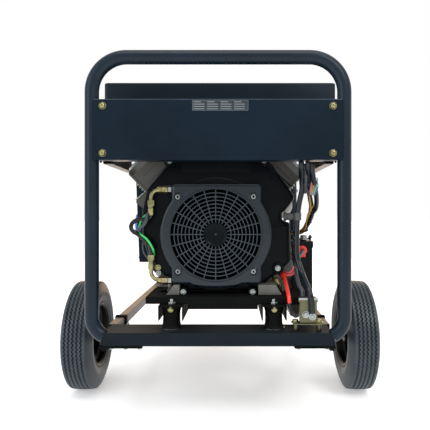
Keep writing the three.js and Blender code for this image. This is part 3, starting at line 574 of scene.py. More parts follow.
def panel_bolts(name, y, s):
    spots = [(x, y, z) for x in (-PANEL_BOLT_X, PANEL_BOLT_X) for z in PANEL_BOLT_Z]
    fasteners(name, spots, (0, s, 0), YELLOW_ZINC, head=0.0068, height=0.0058, washer=0.0084, kind="round")


panel_bolts("front_panel_bolts", FRONT_Y, -1)
panel_bolts("rear_panel_bolts", REAR_Y + 0.0183, 1)

# Painted highlight along the upper edge of the front panel: a thin strip of brighter paint where the folded
# edge catches the light
bm = bmesh.new()
block(bm, (-0.278, FRONT_Y - 0.0004, 0.7468), (0.278, FRONT_Y + 0.001, 0.7482))
from_bmesh("front_panel_edge_highlight", bm, PAINTED_EDGE_HIGHLIGHT, "frame_paint", bevel=0.0002, segments=1)

LABEL_X, LABEL_Z, LABEL_W, LABEL_H = 0.0055, 0.734, 0.0625, 0.0115  # the middle and the half sizes


def make_label():
    """A four-column data label with rules and no words."""
    bm = bmesh.new()
    prism(bm, rounded(-LABEL_W, LABEL_W, -LABEL_H, LABEL_H, 0.0015, 3), 0.0001, 0.0004,
          facing_front(LABEL_X, FRONT_Y, LABEL_Z))
    from_bmesh("data_label", bm, LABEL)
    bm = bmesh.new()
    for column in range(4):
        x0 = LABEL_X - LABEL_W + 0.003 + column * 0.0301
        for row, share in enumerate((0.62, 0.9, 0.9, 0.9)):
            z = LABEL_Z + 0.0078 - row * 0.0052
            block(bm, (x0, FRONT_Y - 0.00055, z - 0.001), (x0 + 0.0268 * share, FRONT_Y - 0.0003, z + 0.001))
    for x0, x1, z0, z1 in ((-LABEL_W, LABEL_W, -LABEL_H, 0.0006 - LABEL_H),
                           (-LABEL_W, LABEL_W, LABEL_H - 0.0006, LABEL_H),
                           (-LABEL_W, 0.0006 - LABEL_W, -LABEL_H, LABEL_H),
                           (LABEL_W - 0.0006, LABEL_W, -LABEL_H, LABEL_H)):
        block(bm, (LABEL_X + x0, FRONT_Y - 0.00055, LABEL_Z + z0),
              (LABEL_X + x1, FRONT_Y - 0.0003, LABEL_Z + z1))
    from_bmesh("data_label_rules", bm, LABEL_INK)


make_label()


# --- Wheels --------------------------------------------------------------------------------------
AXLE_Y = back(290)
WHEEL_X, WHEEL_Z, TYRE_R = 0.377, 0.15, 0.15
WHEEL_BOLTS, BOLT_CIRCLE = 5, 0.0405
TEETH = 84
GROOVES = (-0.021, -0.0105, 0.0, 0.0105, 0.021)
GROOVE_HALF, GROOVE_DEPTH, GROOVE_EDGE, ZIGZAG = 0.0015, 0.0045, 0.0005, 0.0021
TREAD_HALF, TREAD_STEPS = 0.042, 112


def tyre_profile(x):
    """Tread radius at a distance x from the middle of the tyre: a nearly flat crown with round shoulders."""
    t = min(1.0, abs(x) / TREAD_HALF)
    return TYRE_R - 0.0042 * t**2 - 0.03 * max(0.0, t - 0.7) ** 1.55 / 0.3**1.55


def make_tyre(side, s):
    """A tyre with zigzag grooves cut into its crown, and a rim band and a bead ridge on its sidewalls."""
    around = TEETH * 4
    xs = [TREAD_HALF * (2 * k / TREAD_STEPS - 1) for k in range(TREAD_STEPS + 1)]
    bm = bmesh.new()
    centre = Vector((s * WHEEL_X, AXLE_Y, WHEEL_Z))
    wall = [(0.0418, 0.112), (0.042, 0.1085), (0.0412, 0.107), (0.0404, 0.1015), (0.038, 0.0945),
            (0.0374, 0.0935), (0.0366, 0.093), (0.034, 0.088), (0.0285, 0.0832)]
    rows = []
    for a in range(around):
        turn = 2 * math.pi * a / around
        swing = (-1, 0, 1, 0)[a % 4]
        row = [(-x, r) for x, r in reversed(wall)]
        for x in xs:
            r = tyre_profile(x)
            for g in GROOVES:
                near = abs(x - g - ZIGZAG * swing)
                if near < GROOVE_HALF:
                    r -= GROOVE_DEPTH * min(1.0, (GROOVE_HALF - near) / GROOVE_EDGE)
            row.append((x, r))
        row += wall
        c, q = math.cos(turn), math.sin(turn)
        rows.append([bm.verts.new(centre + Vector((x, r * c, r * q))) for x, r in row])
    for a, b in zip(rows, [*rows[1:], rows[0]]):
        for i in range(len(a) - 1):
            bm.faces.new([a[i], b[i], b[i + 1], a[i + 1]])
        bm.faces.new([a[-1], b[-1], b[0], a[0]])
    return from_bmesh(f"tyre_{side}_treaded", bm, TYRE, "tyre", (f"tyre_{side}",), 50, body=f"wheel_{side}")


def make_rim(side, s):
    centre = Vector((s * WHEEL_X, AXLE_Y, WHEEL_Z))
    out = (s, 0, 0)
    bm = bmesh.new()
    half = [(0.0368, 0.0905), (0.0372, 0.0888), (0.0352, 0.0835), (0.033, 0.0812), (0.02, 0.079),
            (0.015, 0.07)]
    inner = [(0.035, 0.0885), (0.0335, 0.0825), (0.032, 0.08), (0.0195, 0.0775), (0.014, 0.068)]
    ring = [(r, d) for d, r in half] + [(r, -d) for d, r in reversed(half)]
    ring += [(r, -d) for d, r in inner] + [(r, d) for d, r in reversed(inner)]
    lathe(bm, ring, centre, out, 72, closed=True)
    disc = [(0.0686, 0.006), (0.06, 0.003), (0.048, 0.009), (0.036, 0.012), (0.0285, 0.012), (0.0285, 0.008),
            (0.036, 0.008), (0.048, 0.005), (0.06, -0.001), (0.0686, 0.002)]
    lathe(bm, disc, centre, out, 72, closed=True)
    hub = [(0.0104, -0.03), (0.02, -0.03), (0.0215, -0.0285), (0.0225, -0.01), (0.032, -0.008),
           (0.032, 0.008), (0.0225, 0.01), (0.0215, 0.0285), (0.02, 0.03), (0.0104, 0.03)]
    lathe(bm, hub, centre, out, 48, closed=True)
    from_bmesh(f"rim_{side}_pressed", bm, RIM_PAINT, "rim_paint", (f"rim_{side}",), 40, body=f"wheel_{side}")
    bm = bmesh.new()
    for k in range(WHEEL_BOLTS):
        spot = centre + Vector((s * 0.012, *polar(BOLT_CIRCLE, 360 * k / WHEEL_BOLTS)))
        fastener(bm, spot, out, head=0.0062, height=0.0045, washer=0.0085)
    lathe(bm, [(0, 0), (0.0042, 0), (0.0042, 0.01), (0.0028, 0.012), (0.0028, 0.02), (0, 0.02)],
          centre + Vector((s * 0.012, 0.0, 0.066)), (s, 0, -0.35), 16)
    lathe(bm, [(0, 0), (0.019, 0), (0.0185, 0.004), (0.012, 0.006), (0, 0.0065)],
          centre + Vector((s * 0.03, 0, 0)), out, 32)
    from_bmesh(f"wheel_{side}_hardware", bm, ZINC, body=f"wheel_{side}")


for side, s in (("left", -1), ("right", 1)):
    make_tyre(side, s)
    make_rim(side, s)

# Bolts of the wheel brackets below the crossmember, and the strap nuts beside each lower rail
spots = [(x, y, 0.1902) for x in (-0.241, -0.208, -0.1765, 0.1815, 0.2465)
         for y in (HOOP_Y - 0.008, HOOP_Y + 0.046)]
fasteners("bracket_bolts", spots, (0, 0, -1), ZINC, head=0.0052, height=0.0034, flange=0.007)
for side, s in (("left", -1), ("right", 1)):
    x = s * 0.257
    for dx in (-0.019, 0.019):
        fasteners(f"strap_nut_{side}_{'in' if dx * s < 0 else 'out'}",
                  [(x + (0.0145 if dx > 0 else -0.0145), back(165), 0.205)], (math.copysign(1, dx), 0, 0),
                  ZINC, head=0.0065, height=0.005)


# --- Blower cowl, cooler cover and grille ----------------------------------------------------------
CX, CZ = CRANK.x, CRANK.z
COWL_FRONT, COWL_BACK = back(92.3), back(122.3)
COVER_FRONT, COVER_BACK = back(62), back(92)
COWL_HOLE = 0.112
GRILLE_R = 0.109
HUB_R = 0.028
GRILLE_RINGS = 9
PITCH = (GRILLE_R - HUB_R) / GRILLE_RINGS
GRILLE_SPOKES = 24
COVER_BOLTS = [(-90.5, 90), (90.5, 90.5), (-90, -88.5), (90.5, -88.5)]


def crank_at(x, y, z):
    """A point from millimetres across and above the crank, at a Y in metres."""
    return Vector((CX + x * MM, y, CZ + z * MM))


def about_crank(points):
    return [(CX + x * MM, CZ + z * MM) for x, z in points]


def filleted(points, radii):
    """Corners of a closed outline rounded by their own radii."""
    steps = 6
    out = []
    n = len(points)
    for i, (p, r) in enumerate(zip(points, radii)):
        a, b, c = Vector(points[i - 1]), Vector(p), Vector(points[(i + 1) % n])
        u, v = (a - b).normalized(), (c - b).normalized()
        half = u.angle(v) / 2
        if r <= 0 or half > 1.55:
            out.append(tuple(b))
            continue
        reach = min(r / math.tan(half), (a - b).length * 0.48, (c - b).length * 0.48)
        hub = b + (u + v).normalized() * (reach / math.cos(half))
        p0, p1 = b + u * reach - hub, b + v * reach - hub
        sweep = math.atan2(p0.x * p1.y - p0.y * p1.x, p0.dot(p1))
        for k in range(steps + 1):
            turn = sweep * k / steps
            q = Vector((p0.x * math.cos(turn) - p0.y * math.sin(turn),
                        p0.x * math.sin(turn) + p0.y * math.cos(turn)))
            out.append(tuple(hub + q))
    return out


def dense(outline, gap=0.012):
    """More points along the straight runs, so a round hole facing them stays round."""
    out = []
    for a, b in zip(outline, [*outline[1:], outline[0]]):
        a, b = Vector(a), Vector(b)
        parts = max(1, round((b - a).length / gap))
        out += [tuple(a.lerp(b, k / parts)) for k in range(parts)]
    return out


def moulding(bm, outline, front, rear, edge, hole=None, steps=5):
    """A plate across Y with a rounded front edge, and a hole of radius hole about the crank."""
    n = len(outline)
    area = sum(a[0] * b[1] - b[0] * a[1] for a, b in zip(outline, [*outline[1:], outline[0]]))
    side = 1 if area > 0 else -1
    inward = []
    for i in range(n):
        a, c = Vector(outline[i - 1]), Vector(outline[(i + 1) % n])
        t = (c - a).normalized()
        inward.append(Vector((-t.y, t.x)) * side)
    levels = [(0.0, rear)] + [(edge * (1 - math.cos(math.radians(90 * k / steps))),
                               front + edge * (1 - math.sin(math.radians(90 * k / steps))))
                              for k in range(steps + 1)]
    rings = []
    for offset, y in levels:
        rings.append([bm.verts.new((x + v.x * offset, y, z + v.y * offset))
                      for (x, z), v in zip(outline, inward)])
    if hole:
        for y in (front, rear):
            ring = []
            for x, z in outline:
                turn = math.atan2(z - CZ, x - CX)
                ring.append(bm.verts.new((CX + hole * math.cos(turn), y, CZ + hole * math.sin(turn))))
            rings.append(ring)
        rings.append(rings[0])
    bridge(bm, rings)
    if not hole:
        bm.faces.new(rings[-1])
        bm.faces.new(rings[0])


COWL_POINTS = [(-172, 108), (-118, 174), (-86, 196), (86, 196), (137, 174), (196, 90), (170, 56), (163, 52),
               (163, 36), (170, 31), (182, 28), (184, -68), (95, -143), (-89, -143), (-118, -120),
               (-167, -54), (-182, -10), (-182, 60)]
COWL_RADII = [14, 20, 16, 16, 22, 14, 7, 5, 5, 6, 8, 22, 24, 24, 18, 20, 18, 18]
COWL_BOLTS = ((-114.5, 179), (118.5, 180), (151.5, -84))


def make_cowl():
    """Moulded blower housing with its bosses, bolts, lower lugs and the rib pair of the oblique duct."""
    bm = bmesh.new()
    cowl = dense(filleted(about_crank(COWL_POINTS), [r * MM for r in COWL_RADII]))
    moulding(bm, cowl, COWL_FRONT, COWL_BACK, 0.01, COWL_HOLE)
    lathe(bm, [(COWL_HOLE, 0), (0.1385, 0), (0.1385, 0.009), (0.1365, 0.0105), (COWL_HOLE, 0.0105)],
          Vector((CX, COWL_FRONT + 0.006, CZ)), (0, -1, 0), 96, closed=True)
    for x0, x1, z0, z1 in ((-84, 84, 150, 176), (-70, 70, -139, -131)):
        prism(bm, rounded(CX + x0 * MM, CX + x1 * MM, CZ + z0 * MM, CZ + z1 * MM, 0.006, 4), -0.001, 0.0035,
              facing_front(0, COWL_FRONT, 0))
    from_bmesh("blower_housing_moulded", bm, COWL_PLASTIC, "engine_plastic", ("blower_housing",), 32)

    bm = bmesh.new()
    for x, z in COWL_BOLTS:
        lathe(bm, [(0.0095, -0.002), (0.015, -0.002), (0.0142, 0.004), (0.0125, 0.0055), (0.0105, 0.0055),
                   (0.0095, 0.003)], crank_at(x, COWL_FRONT, z), (0, -1, 0), 32, closed=True)
    from_bmesh("blower_bolt_bosses", bm, COWL_PLASTIC, "engine_plastic", sharp=40)
    fasteners("blower_bolts", [crank_at(x, COWL_FRONT + 0.0001, z) for x, z in COWL_BOLTS], (0, -1, 0), ZINC,
              head=0.0056, height=0.0075, flange=0.0078)
    bm = bmesh.new()
    for x in (-0.086, 0.081):
        rod(bm, 0.011, COWL_FRONT - back(67), Vector((x, COWL_FRONT, 0.303)), (0, -1, 0), 32)
    from_bmesh("blower_lower_lugs", bm, COWL_PLASTIC, "engine_plastic", sharp=40, bevel=0.0012)
    fasteners("blower_lug_bolts", [(-0.086, back(66.8), 0.303), (0.081, back(66.8), 0.303)], (0, -1, 0), ZINC,
              head=0.0056, height=0.006, flange=0.0078)

    bm = bmesh.new()
    for off in (-0.0075, 0.0075):
        a, b = Vector((CX + 0.122, 0, CZ + 0.163)), Vector((CX + 0.181, 0, CZ + 0.11))
        side = Vector((b.z - a.z, 0, a.x - b.x)).normalized() * off
        ends = [p + side + Vector((0, COWL_FRONT - 0.0008, 0)) for p in (a, b)]
        tube(bm, ends, 0.0017, 12)
    from_bmesh("cowl_duct_ribs", bm, COWL_PLASTIC, "engine_plastic", sharp=40)


make_cowl()


def cover_outline():
    """A square bolted plate whose left, right and lower sides bulge out into the round shell behind it."""
    left, right, top, low, radius = -106, 110, 121.5, -119, 134.5
    points = []
    turn = math.degrees(math.acos(right / radius))
    points += arc(0, 0, radius, -turn, turn, 20)
    points += [(right, top), (left, top)]
    turn = math.degrees(math.acos(-left / radius))
    points += arc(0, 0, radius, 180 - turn, 180 + turn, 20)
    points += [(left, low)]
    points += [(polar(62, a)[0], low + polar(9.5, a)[1]) for a in range(180, 361, 20)]
    points += [(right, low)]
    radii = [9 if p in ((right, top), (left, top), (left, low), (right, low)) else 0 for p in points]
    return dense(filleted(about_crank(points), [r * MM for r in radii]), 0.008)


def make_cover():
    bm = bmesh.new()
    moulding(bm, cover_outline(), COVER_FRONT, COVER_BACK, 0.0075, GRILLE_R, 6)
    lathe(bm, [(GRILLE_R - 0.0005, 0.004), (GRILLE_R + 0.005, 0.004), (GRILLE_R + 0.0045, -0.0012),
               (GRILLE_R + 0.003, -0.0022), (GRILLE_R - 0.0005, -0.0022)], Vector((CX, COVER_FRONT, CZ)),
          (0, 1, 0), 96, closed=True)
    from_bmesh("cooler_cover_moulded", bm, COVER_PLASTIC, "engine_plastic", ("cooler_cover",), 30)


def make_grille():
    """Rings and spokes round a domed hub."""
    bm = bmesh.new()
    for k in range(1, GRILLE_RINGS):
        r = HUB_R + PITCH * k
        lathe(bm, [(r - 0.0013, 0.0005), (r - 0.0009, 0), (r + 0.0009, 0), (r + 0.0013, 0.0005),
                   (r + 0.0013, 0.0024), (r - 0.0013, 0.0024)], Vector((CX, COVER_FRONT + 0.001, CZ)),
              (0, 1, 0), 96, closed=True)
    for k in range(GRILLE_SPOKES):
        turn = Matrix.Rotation(2 * math.pi * k / GRILLE_SPOKES, 4, "Y")
        place = Matrix.Translation((CX, COVER_FRONT + 0.0004, CZ)) @ turn
        block(bm, (HUB_R - 0.001, 0, -0.0012), (GRILLE_R + 0.001, 0.0032, 0.0012), place)
    from_bmesh("cooler_grille", bm, GRILLE_PLASTIC, "engine_plastic", bevel=0.0003, segments=1)
    turned("grille_hub", [(0, 0.0032), (0.008, 0.003), (0.018, 0.0022), (0.025, 0.001), (0.0268, -0.0006),
                          (0.0282, -0.0012), (0.029, 0.0), (0.029, 0.006), (0, 0.0065)],
           Vector((CX, COVER_FRONT, CZ)), (0, 1, 0), 64, COWL_PLASTIC, "engine_plastic", sharp=40)
    # The pip in the lighter cover plastic is a painted highlight at the middle of the dark hub.
    turned("grille_hub_pip_highlight", [(0, 0.001), (0.0022, 0.0012), (0.0034, 0.0024), (0.0036, 0.004), (0, 0.004)],
           Vector((CX, COVER_FRONT, CZ)), (0, 1, 0), 32, COVER_PLASTIC, "engine_plastic", sharp=40)


def make_seal():
    """Foam between the cover and the square core, one piece in each gap of the round opening."""
    # In the near-black shade material: black foam with the shade of the gaps round the core painted in.
    bm = bmesh.new()
    reach = 112
    for turn, edge in ((0, 88), (90, 90), (180, 88), (270, 90)):
        half = math.degrees(math.acos(edge / reach))
        prism(bm, about_crank(arc(0, 0, reach, turn - half, turn + half, 24)), 0, 0.0015,
              facing_front(0, back(68.5), 0))
    from_bmesh("cooler_seal", bm, FLAT_BLACK_AND_SHADE, "rubber")


def make_cover_bolts():
    bm = bmesh.new()
    for x, z in COVER_BOLTS:
        lathe(bm, [(0, -0.002), (0.0106, -0.002), (0.01, 0.0022), (0.0088, 0.0028), (0.008, 0.0008),
                   (0, 0.0008)], crank_at(x, COVER_FRONT, z), (0, -1, 0), 32)
    from_bmesh("cover_bolt_bosses", bm, COVER_PLASTIC, "engine_plastic", sharp=40)
    fasteners("cover_bolts", [crank_at(x, COVER_FRONT - 0.0009, z) for x, z in COVER_BOLTS], (0, -1, 0), ZINC,
              head=0.0052, height=0.006, flange=0.0066, kind="socket")
    # Black hexes standing in the socket recesses: painted shade.
    bm = bmesh.new()
    for x, z in COVER_BOLTS:
        prism(bm, hexagon(0.0027), 0, 0.0044, facing_front(*crank_at(x, COVER_FRONT - 0.0009, z)))
    from_bmesh("cover_bolt_socket_shade", bm, FLAT_BLACK_AND_SHADE, "zinc")


make_cover()
make_grille()
make_seal()
make_cover_bolts()

COOLER_ROWS, COOLER_FINS = 13, 56


def make_cooler():
    """Flat tubes across, with corrugated fins standing between them and a plate in the middle of the core."""
    # Core pieces in near-black with no reflection: the core's black with the painted shade behind the grille.
    bm = bmesh.new()
    low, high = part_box("oil_cooler")
    step = (high.z - low.z - 0.012) / COOLER_ROWS
    for k in range(COOLER_ROWS + 1):
        z = low.z + 0.006 + k * step
        block(bm, (low.x, low.y, z - 0.0012), (high.x, high.y, z + 0.0012))
    for x in (low.x, high.x - 0.006):
        block(bm, (x, low.y - 0.001, low.z), (x + 0.006, high.y, high.z))
    from_bmesh("cooler_tubes", bm, FLAT_BLACK_AND_SHADE, "cooler_fins", ("oil_cooler",), 40, 0.0004, 1)
    bm = bmesh.new()
    for k in range(COOLER_ROWS):
        z = low.z + 0.006 + k * step
        for i in range(COOLER_FINS):
            x = low.x + 0.007 + (high.x - low.x - 0.014) * i / (COOLER_FINS - 1)
            lean = 0.0007 if i % 2 else -0.0007
            add_mesh(bm, [(x - lean, low.y + 0.001, z), (x + lean, low.y + 0.001, z + step),
                          (x + lean, high.y, z + step), (x - lean, high.y, z)], [(0, 1, 2, 3)])
    middle = (low.y + high.y) / 2
    block(bm, (low.x + 0.004, middle, low.z + 0.004), (high.x - 0.004, middle + 0.0012, high.z - 0.004))
    from_bmesh("cooler_corrugations", bm, FLAT_BLACK_AND_SHADE, "cooler_fins")


make_cooler()
refined("crankshaft_and_rotor", STEEL, 0.0006, "steel")


# --- Engine --------------------------------------------------------------------------------------
def out_of(place):
    """The local Z of a frame, in world axes."""
    return place.to_3x3() @ Vector((0, 0, 1))


def leaning(s, y):
    """Frame of a cylinder: local Z runs out along the bore, local X across it, local Y along the crank."""
    return Matrix.Translation((CX, y, CZ)) @ Matrix.Rotation(s * math.pi / 4, 4, "Y")


CYLINDER_FINS, HEAD_FIN, FIN_PITCH = 14, 9, 0.0082


def make_cylinder(side, place):
    """Barrel, cooling fins that widen towards the head, and the head plate."""
    bm = bmesh.new()
    lathe(bm, [(0.047, 0.118), (0.047, 0.236)], place @ Vector((0, 0, 0)), out_of(place), 48)
    for k in range(CYLINDER_FINS):
        z = 0.124 + k * FIN_PITCH
        grow = 0.0 if k < HEAD_FIN else 0.002
        prism(bm, rounded(-0.057 - grow, 0.057 + grow, -0.059, 0.059, 0.014, 4), z, z + 0.0022, place)
    prism(bm, rounded(-0.053, 0.053, -0.056, 0.056, 0.01, 4), 0.2375, 0.243, place)
    from_bmesh(f"cylinder_{side}_finned", bm, CAST, "cast_alloy", (f"cylinder_{side}",), 35, 0.0004, 1)


def make_valve_cover(side, place):
    bm = bmesh.new()
    prism(bm, rounded(-0.05, 0.05, -0.058, 0.058, 0.014, 5), 0.2425, 0.248, place)
    prism(bm, rounded(-0.046, 0.046, -0.054, 0.054, 0.014, 5), 0.2475, 0.278, place)
    for dx in (-0.026, 0.0, 0.026):
        block(bm, (dx - 0.002, -0.044, 0.2775), (dx + 0.002, 0.044, 0.2805), place)
    from_bmesh(f"valve_cover_{side}", bm, CAST, "cast_alloy", bevel=0.003, segments=3)
    bm = bmesh.new()
    for dx in (-0.044, 0.044):
        for dy in (-0.05, 0.05):
            fastener(bm, place @ Vector((dx, dy, 0.248)), out_of(place), head=0.005, height=0.005,
                     flange=0.007)
    from_bmesh(f"valve_cover_bolts_{side}", bm, ZINC, "zinc", sharp=40)


def make_shroud(side, s, place):
    """Folded sheet shroud: front sheet with a bent-back outer end, upper flange and a short lower return."""
    bm = bmesh.new()
    t = 0.0016
    flip = -s  # the upper side of each cylinder is at +X on the left and -X on the right

    def across(lower, upper):
        """Two places across the cylinder, in rising order of local X."""
        return sorted((lower * flip, upper * flip))

    at_front = place @ Matrix.Translation((0, -0.074 + t, 0)) @ Matrix.Rotation(math.radians(90), 4, "X")
    sheet = [(-0.048, 0.136), (0.064, 0.136), (0.064, 0.252), (-0.048, 0.252)]
    prism(bm, [(x * flip, z) for x, z in sheet][::flip], 0, t, at_front)
    x0, x1 = across(-0.048, 0.064)
    corners = [(x0, -0.074, 0.252), (x1, -0.074, 0.252), (x1, -0.062, 0.27), (x0, -0.062, 0.27)]
    rear_corners = [(x, y + t * 1.2, z) for x, y, z in corners]
    add_mesh(bm, [place @ Vector(c) for c in corners + rear_corners],
             [(0, 1, 2, 3), (7, 6, 5, 4), (0, 4, 5, 1), (1, 5, 6, 2), (2, 6, 7, 3), (3, 7, 4, 0)])
    for near, far, y_end in ((0.064, 0.064 + t, 0.062), (-0.048 - t, -0.048, -0.062)):
        x0, x1 = across(near, far)
        block(bm, (x0, -0.074, 0.136), (x1, y_end, 0.266), place)
    x0, x1 = across(-0.052, -0.047)
    block(bm, (x0, -0.0775, 0.136), (x1, -0.0735, 0.262), place)
    x0, x1 = across(-0.03, 0.048)
    for z in (0.214, 0.236):
        prism(bm, rounded(x0, x1, z - 0.003, z + 0.003, 0.0029, 4), 0, t + 0.0012, at_front)
    from_bmesh(f"cylinder_shroud_{side}_folded", bm, SHROUD, "shroud_paint", (f"cylinder_shroud_{side}",), 35,
               0.0005)


for side, s, y in (("left", -1, back(202)), ("right", 1, back(238))):
    place = leaning(s, y)
    make_cylinder(side, place)
    make_valve_cover(side, place)
    make_shroud(side, s, place)

refined("crankcase", CAST, 0.003, "cast_alloy", 3)
refined("oil_filter", ENAMEL, 0.004, "filter_paint", 3)
refined("starter_motor", ENAMEL, 0.0015, "steel", 2)
refined("air_cleaner", COWL_PLASTIC, 0.005, "engine_plastic", 3)
refined("silencer", EXHAUST, 0.001, "exhaust_steel", 2, 50)

PLATE_TOP = 0.297


def make_engine_feet():
    """Cast feet and lower crankcase ribs seen below the cowl, standing on the base plate, in a darker copy of
    the cast aluminium that paints in the shade below the cowl.
    """
    bm = bmesh.new()
    for x0, x1, top0, top1 in ((-0.132, -0.08, -0.112, -0.08), (0.09, 0.168, 0.09, 0.148)):
        profile = [(x0, PLATE_TOP + 0.0003), (x1, PLATE_TOP + 0.0003), (top1, PLATE_TOP + 0.044),
                   (top0, PLATE_TOP + 0.044)]
        prism(bm, profile, 0, 0.014, facing_front(0, back(126), 0))
        for k in range(3):
            x = x0 + 0.012 + (x1 - x0 - 0.024) * k / 2
            block(bm, (x - 0.002, back(106), PLATE_TOP + 0.0003), (x + 0.002, back(113), PLATE_TOP + 0.03))
    for x0, x1, top0, top1 in ((-0.126, -0.094, -0.108, -0.094), (0.094, 0.151, 0.094, 0.136)):
        profile = [(x0, PLATE_TOP + 0.0004), (x1, PLATE_TOP + 0.0004), (top1, PLATE_TOP + 0.025),
                   (top0, PLATE_TOP + 0.025)]
        prism(bm, profile, 0, 0.052, facing_front(0, back(108), 0))
    from_bmesh("engine_feet", bm, SHADED_FOOT_CAST, "cast_alloy", bevel=0.0018)


make_engine_feet()


def make_baffle():
    """Sheet baffle with a rolled edge beside the left cylinder, drawn in bright zinc as a painted highlight,
    and the bolts below it.
    """
    bm = bmesh.new()
    baffle = [(-0.172, 0.566), (-0.193, 0.543), (-0.212, 0.526), (-0.212, 0.519), (-0.193, 0.504),
              (-0.19, 0.488), (-0.172, 0.488)]
    prism(bm, baffle, 0, 0.0016, facing_front(0, back(135), 0))
    from_bmesh("left_baffle", bm, SHROUD, "shroud_paint", bevel=0.0003, segments=1)
    # The rolled edge in bright zinc is a painted highlight along the sheet's edge.
    bm = bmesh.new()
    tube(bm, [spot_at(-192.5, 133, 544), spot_at(-212.5, 133, 526.5)], 0.0021, 14)
    from_bmesh("left_baffle_edge_highlight", bm, ZINC, "zinc")
    fasteners("case_bolt_upper", [(-0.15, back(91), 0.36)], (0, -1, 0), YELLOW_ZINC, head=0.005,
              height=0.0045, flange=0.0078)
    fasteners("case_bolt_lower", [(-0.149, back(90), 0.346)], (0, -1, 0), ZINC, head=0.005, height=0.006,
              flange=0.0072)


make_baffle()


def make_mount(node):
    """Rubber mount with its plate, stud and nut."""
    low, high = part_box(node)
    x, y = (low.x + high.x) / 2, (low.y + high.y) / 2
    bm = bmesh.new()
    height = high.z - low.z
    lathe(bm, [(0, 0), (0.024, 0), (0.024, 0.003), (0.0225, 0.005), (0.0205, 0.012), (0.02, height / 2),
               (0.0205, height - 0.012), (0.0225, height - 0.005), (0.024, height - 0.003), (0.024, height),
               (0, height)], Vector((x, y, low.z)), (0, 0, 1), 48)
    from_bmesh(f"{node}_moulded", bm, RUBBER, "rubber", (node,), 40)
    bm = bmesh.new()
    rod(bm, 0.0256, 0.002, Vector((x, y, low.z + 0.0001)), (0, 0, 1), 48)
    fastener(bm, (x, y, high.z + 0.0004), (0, 0, 1), head=0.009, height=0.0075, washer=0.014)
    lathe(bm, [(0, 0), (0.0048, 0), (0.0048, 0.015), (0.004, 0.016), (0, 0.016)], Vector((x, y, high.z)),
          (0, 0, 1), 20)
    from_bmesh(f"{node}_stud", bm, ZINC, "zinc", sharp=40)


for end in ("front", "rear"):
    for side in ("left", "right"):
        make_mount(f"mount_{end}_{side}")
fasteners("rail_stop_bolts", [(0.129, back(16) - 0.0002, 0.271), (-0.11, back(16) - 0.0002, 0.271)],
          (0, -1, 0), YELLOW_ZINC, head=0.0052, height=0.0055, flange=0.007)

# Alternator: barrel, end cover and windings
refined("alternator_housing", DARK_CAST, 0.0012, "alternator_paint", 2)
refined("alternator_end_cover", DARK_CAST, 0.0015, "alternator_paint", 2)
refined("stator", COPPER, 0.0006, "stator_copper", 1)


# --- Hoses, cables and small wires ----------------------------------------------------------------
def route(points, step=0.004):
    """A smooth run through points given as in spot_at."""
    return smooth_path([spot_at(*p) for p in points], step)


def run(name, points, radius, material, slot=None, replaces=(), sides=20):
    bm = bmesh.new()
    tube(bm, route(points), radius, sides)
    return from_bmesh(name, bm, material, slot, replaces, 50)


def sleeve(bm, path, start, end, radius):
    """A sleeve round part of a path, given as shares of its points."""
    first, last = int(start * (len(path) - 1)), int(end * (len(path) - 1))
    tube(bm, path[first:max(last, first + 2)], radius)


def nut_along(bm, centre, axis, across, length):
    """A hexagonal nut or union whose axis runs along a pipe."""
    r = across / 2 / math.cos(math.pi / 6)
    place = Matrix.Translation(centre) @ frame_at(axis)
    prism(bm, hexagon(r), -length / 2, length / 2, place)


LINE_D, DROP_X = 78, -165
UPPER_Z, LOWER_Z = 550, 331


def make_line_end(name, z, turn_z, sleeve_low, sleeve_high):
    """Locknut, union, elbow and crimped sleeve at one end of the cooler line, at heights in millimetres."""
    bm = bmesh.new()
    nut_along(bm, spot_at(-119.0, LINE_D, z), (1, 0, 0), 0.019, 0.008)
    from_bmesh(f"{name}_line_locknut", bm, ZINC, "zinc", sharp=30, bevel=0.0006)
    bm = bmesh.new()
    nut_along(bm, spot_at(-131.5, LINE_D, z), (1, 0, 0), 0.018, 0.015)
    nut_along(bm, spot_at(-143.0, LINE_D, z), (1, 0, 0), 0.016, 0.006)
    from_bmesh(f"{name}_line_union", bm, BRASS, "zinc", sharp=30, bevel=0.0006)
    bm = bmesh.new()
    tube(bm, bent_path([spot_at(-140, LINE_D, z), spot_at(DROP_X, LINE_D, z),
                        spot_at(DROP_X, LINE_D, turn_z)], 0.02, 16), 0.005, 24)
    rod(bm, 0.0076, 0.004, spot_at(-146, LINE_D, z), (-1, 0, 0), 28)
    from_bmesh(f"{name}_line_elbow", bm, YELLOW_ZINC, "zinc", sharp=40)
    bm = bmesh.new()
    length = (sleeve_high - sleeve_low) * MM
    flare = 0.0015
    lathe(bm, [(0, 0), (0.0068, 0), (0.0074, flare), (0.0074, length * 0.44), (0.0064, length * 0.47),
               (0.0064, length * 0.52), (0.0074, length * 0.55), (0.0074, length * 0.66), (0, length * 0.66)],
          spot_at(DROP_X, LINE_D, sleeve_low), (0, 0, 1), 32)
    nut_along(bm, spot_at(DROP_X, LINE_D, sleeve_low) + Vector((0, 0, length * 0.83)), (0, 0, 1), 0.0155,
              length * 0.34)
    from_bmesh(f"{name}_line_crimp", bm, YELLOW_ZINC, "zinc", sharp=40)


make_line_end("upper", UPPER_Z, 521, 488, 524)
make_line_end("lower", LOWER_Z, 362, 357, 392)

HOSE_RUN = [(-165, 78, 494), (-166, 78, 485), (-177, 82, 477), (-197, 84, 478), (-213, 82, 467),
            (-213, 80, 453), (-201, 80, 444), (-183, 78, 431), (-169, 78, 415), (-165, 78, 402),
            (-165, 78, 388)]
run("cooler_hose", HOSE_RUN, 0.0052, HOSE, "hose_rubber", ("cooler_line",), 24)

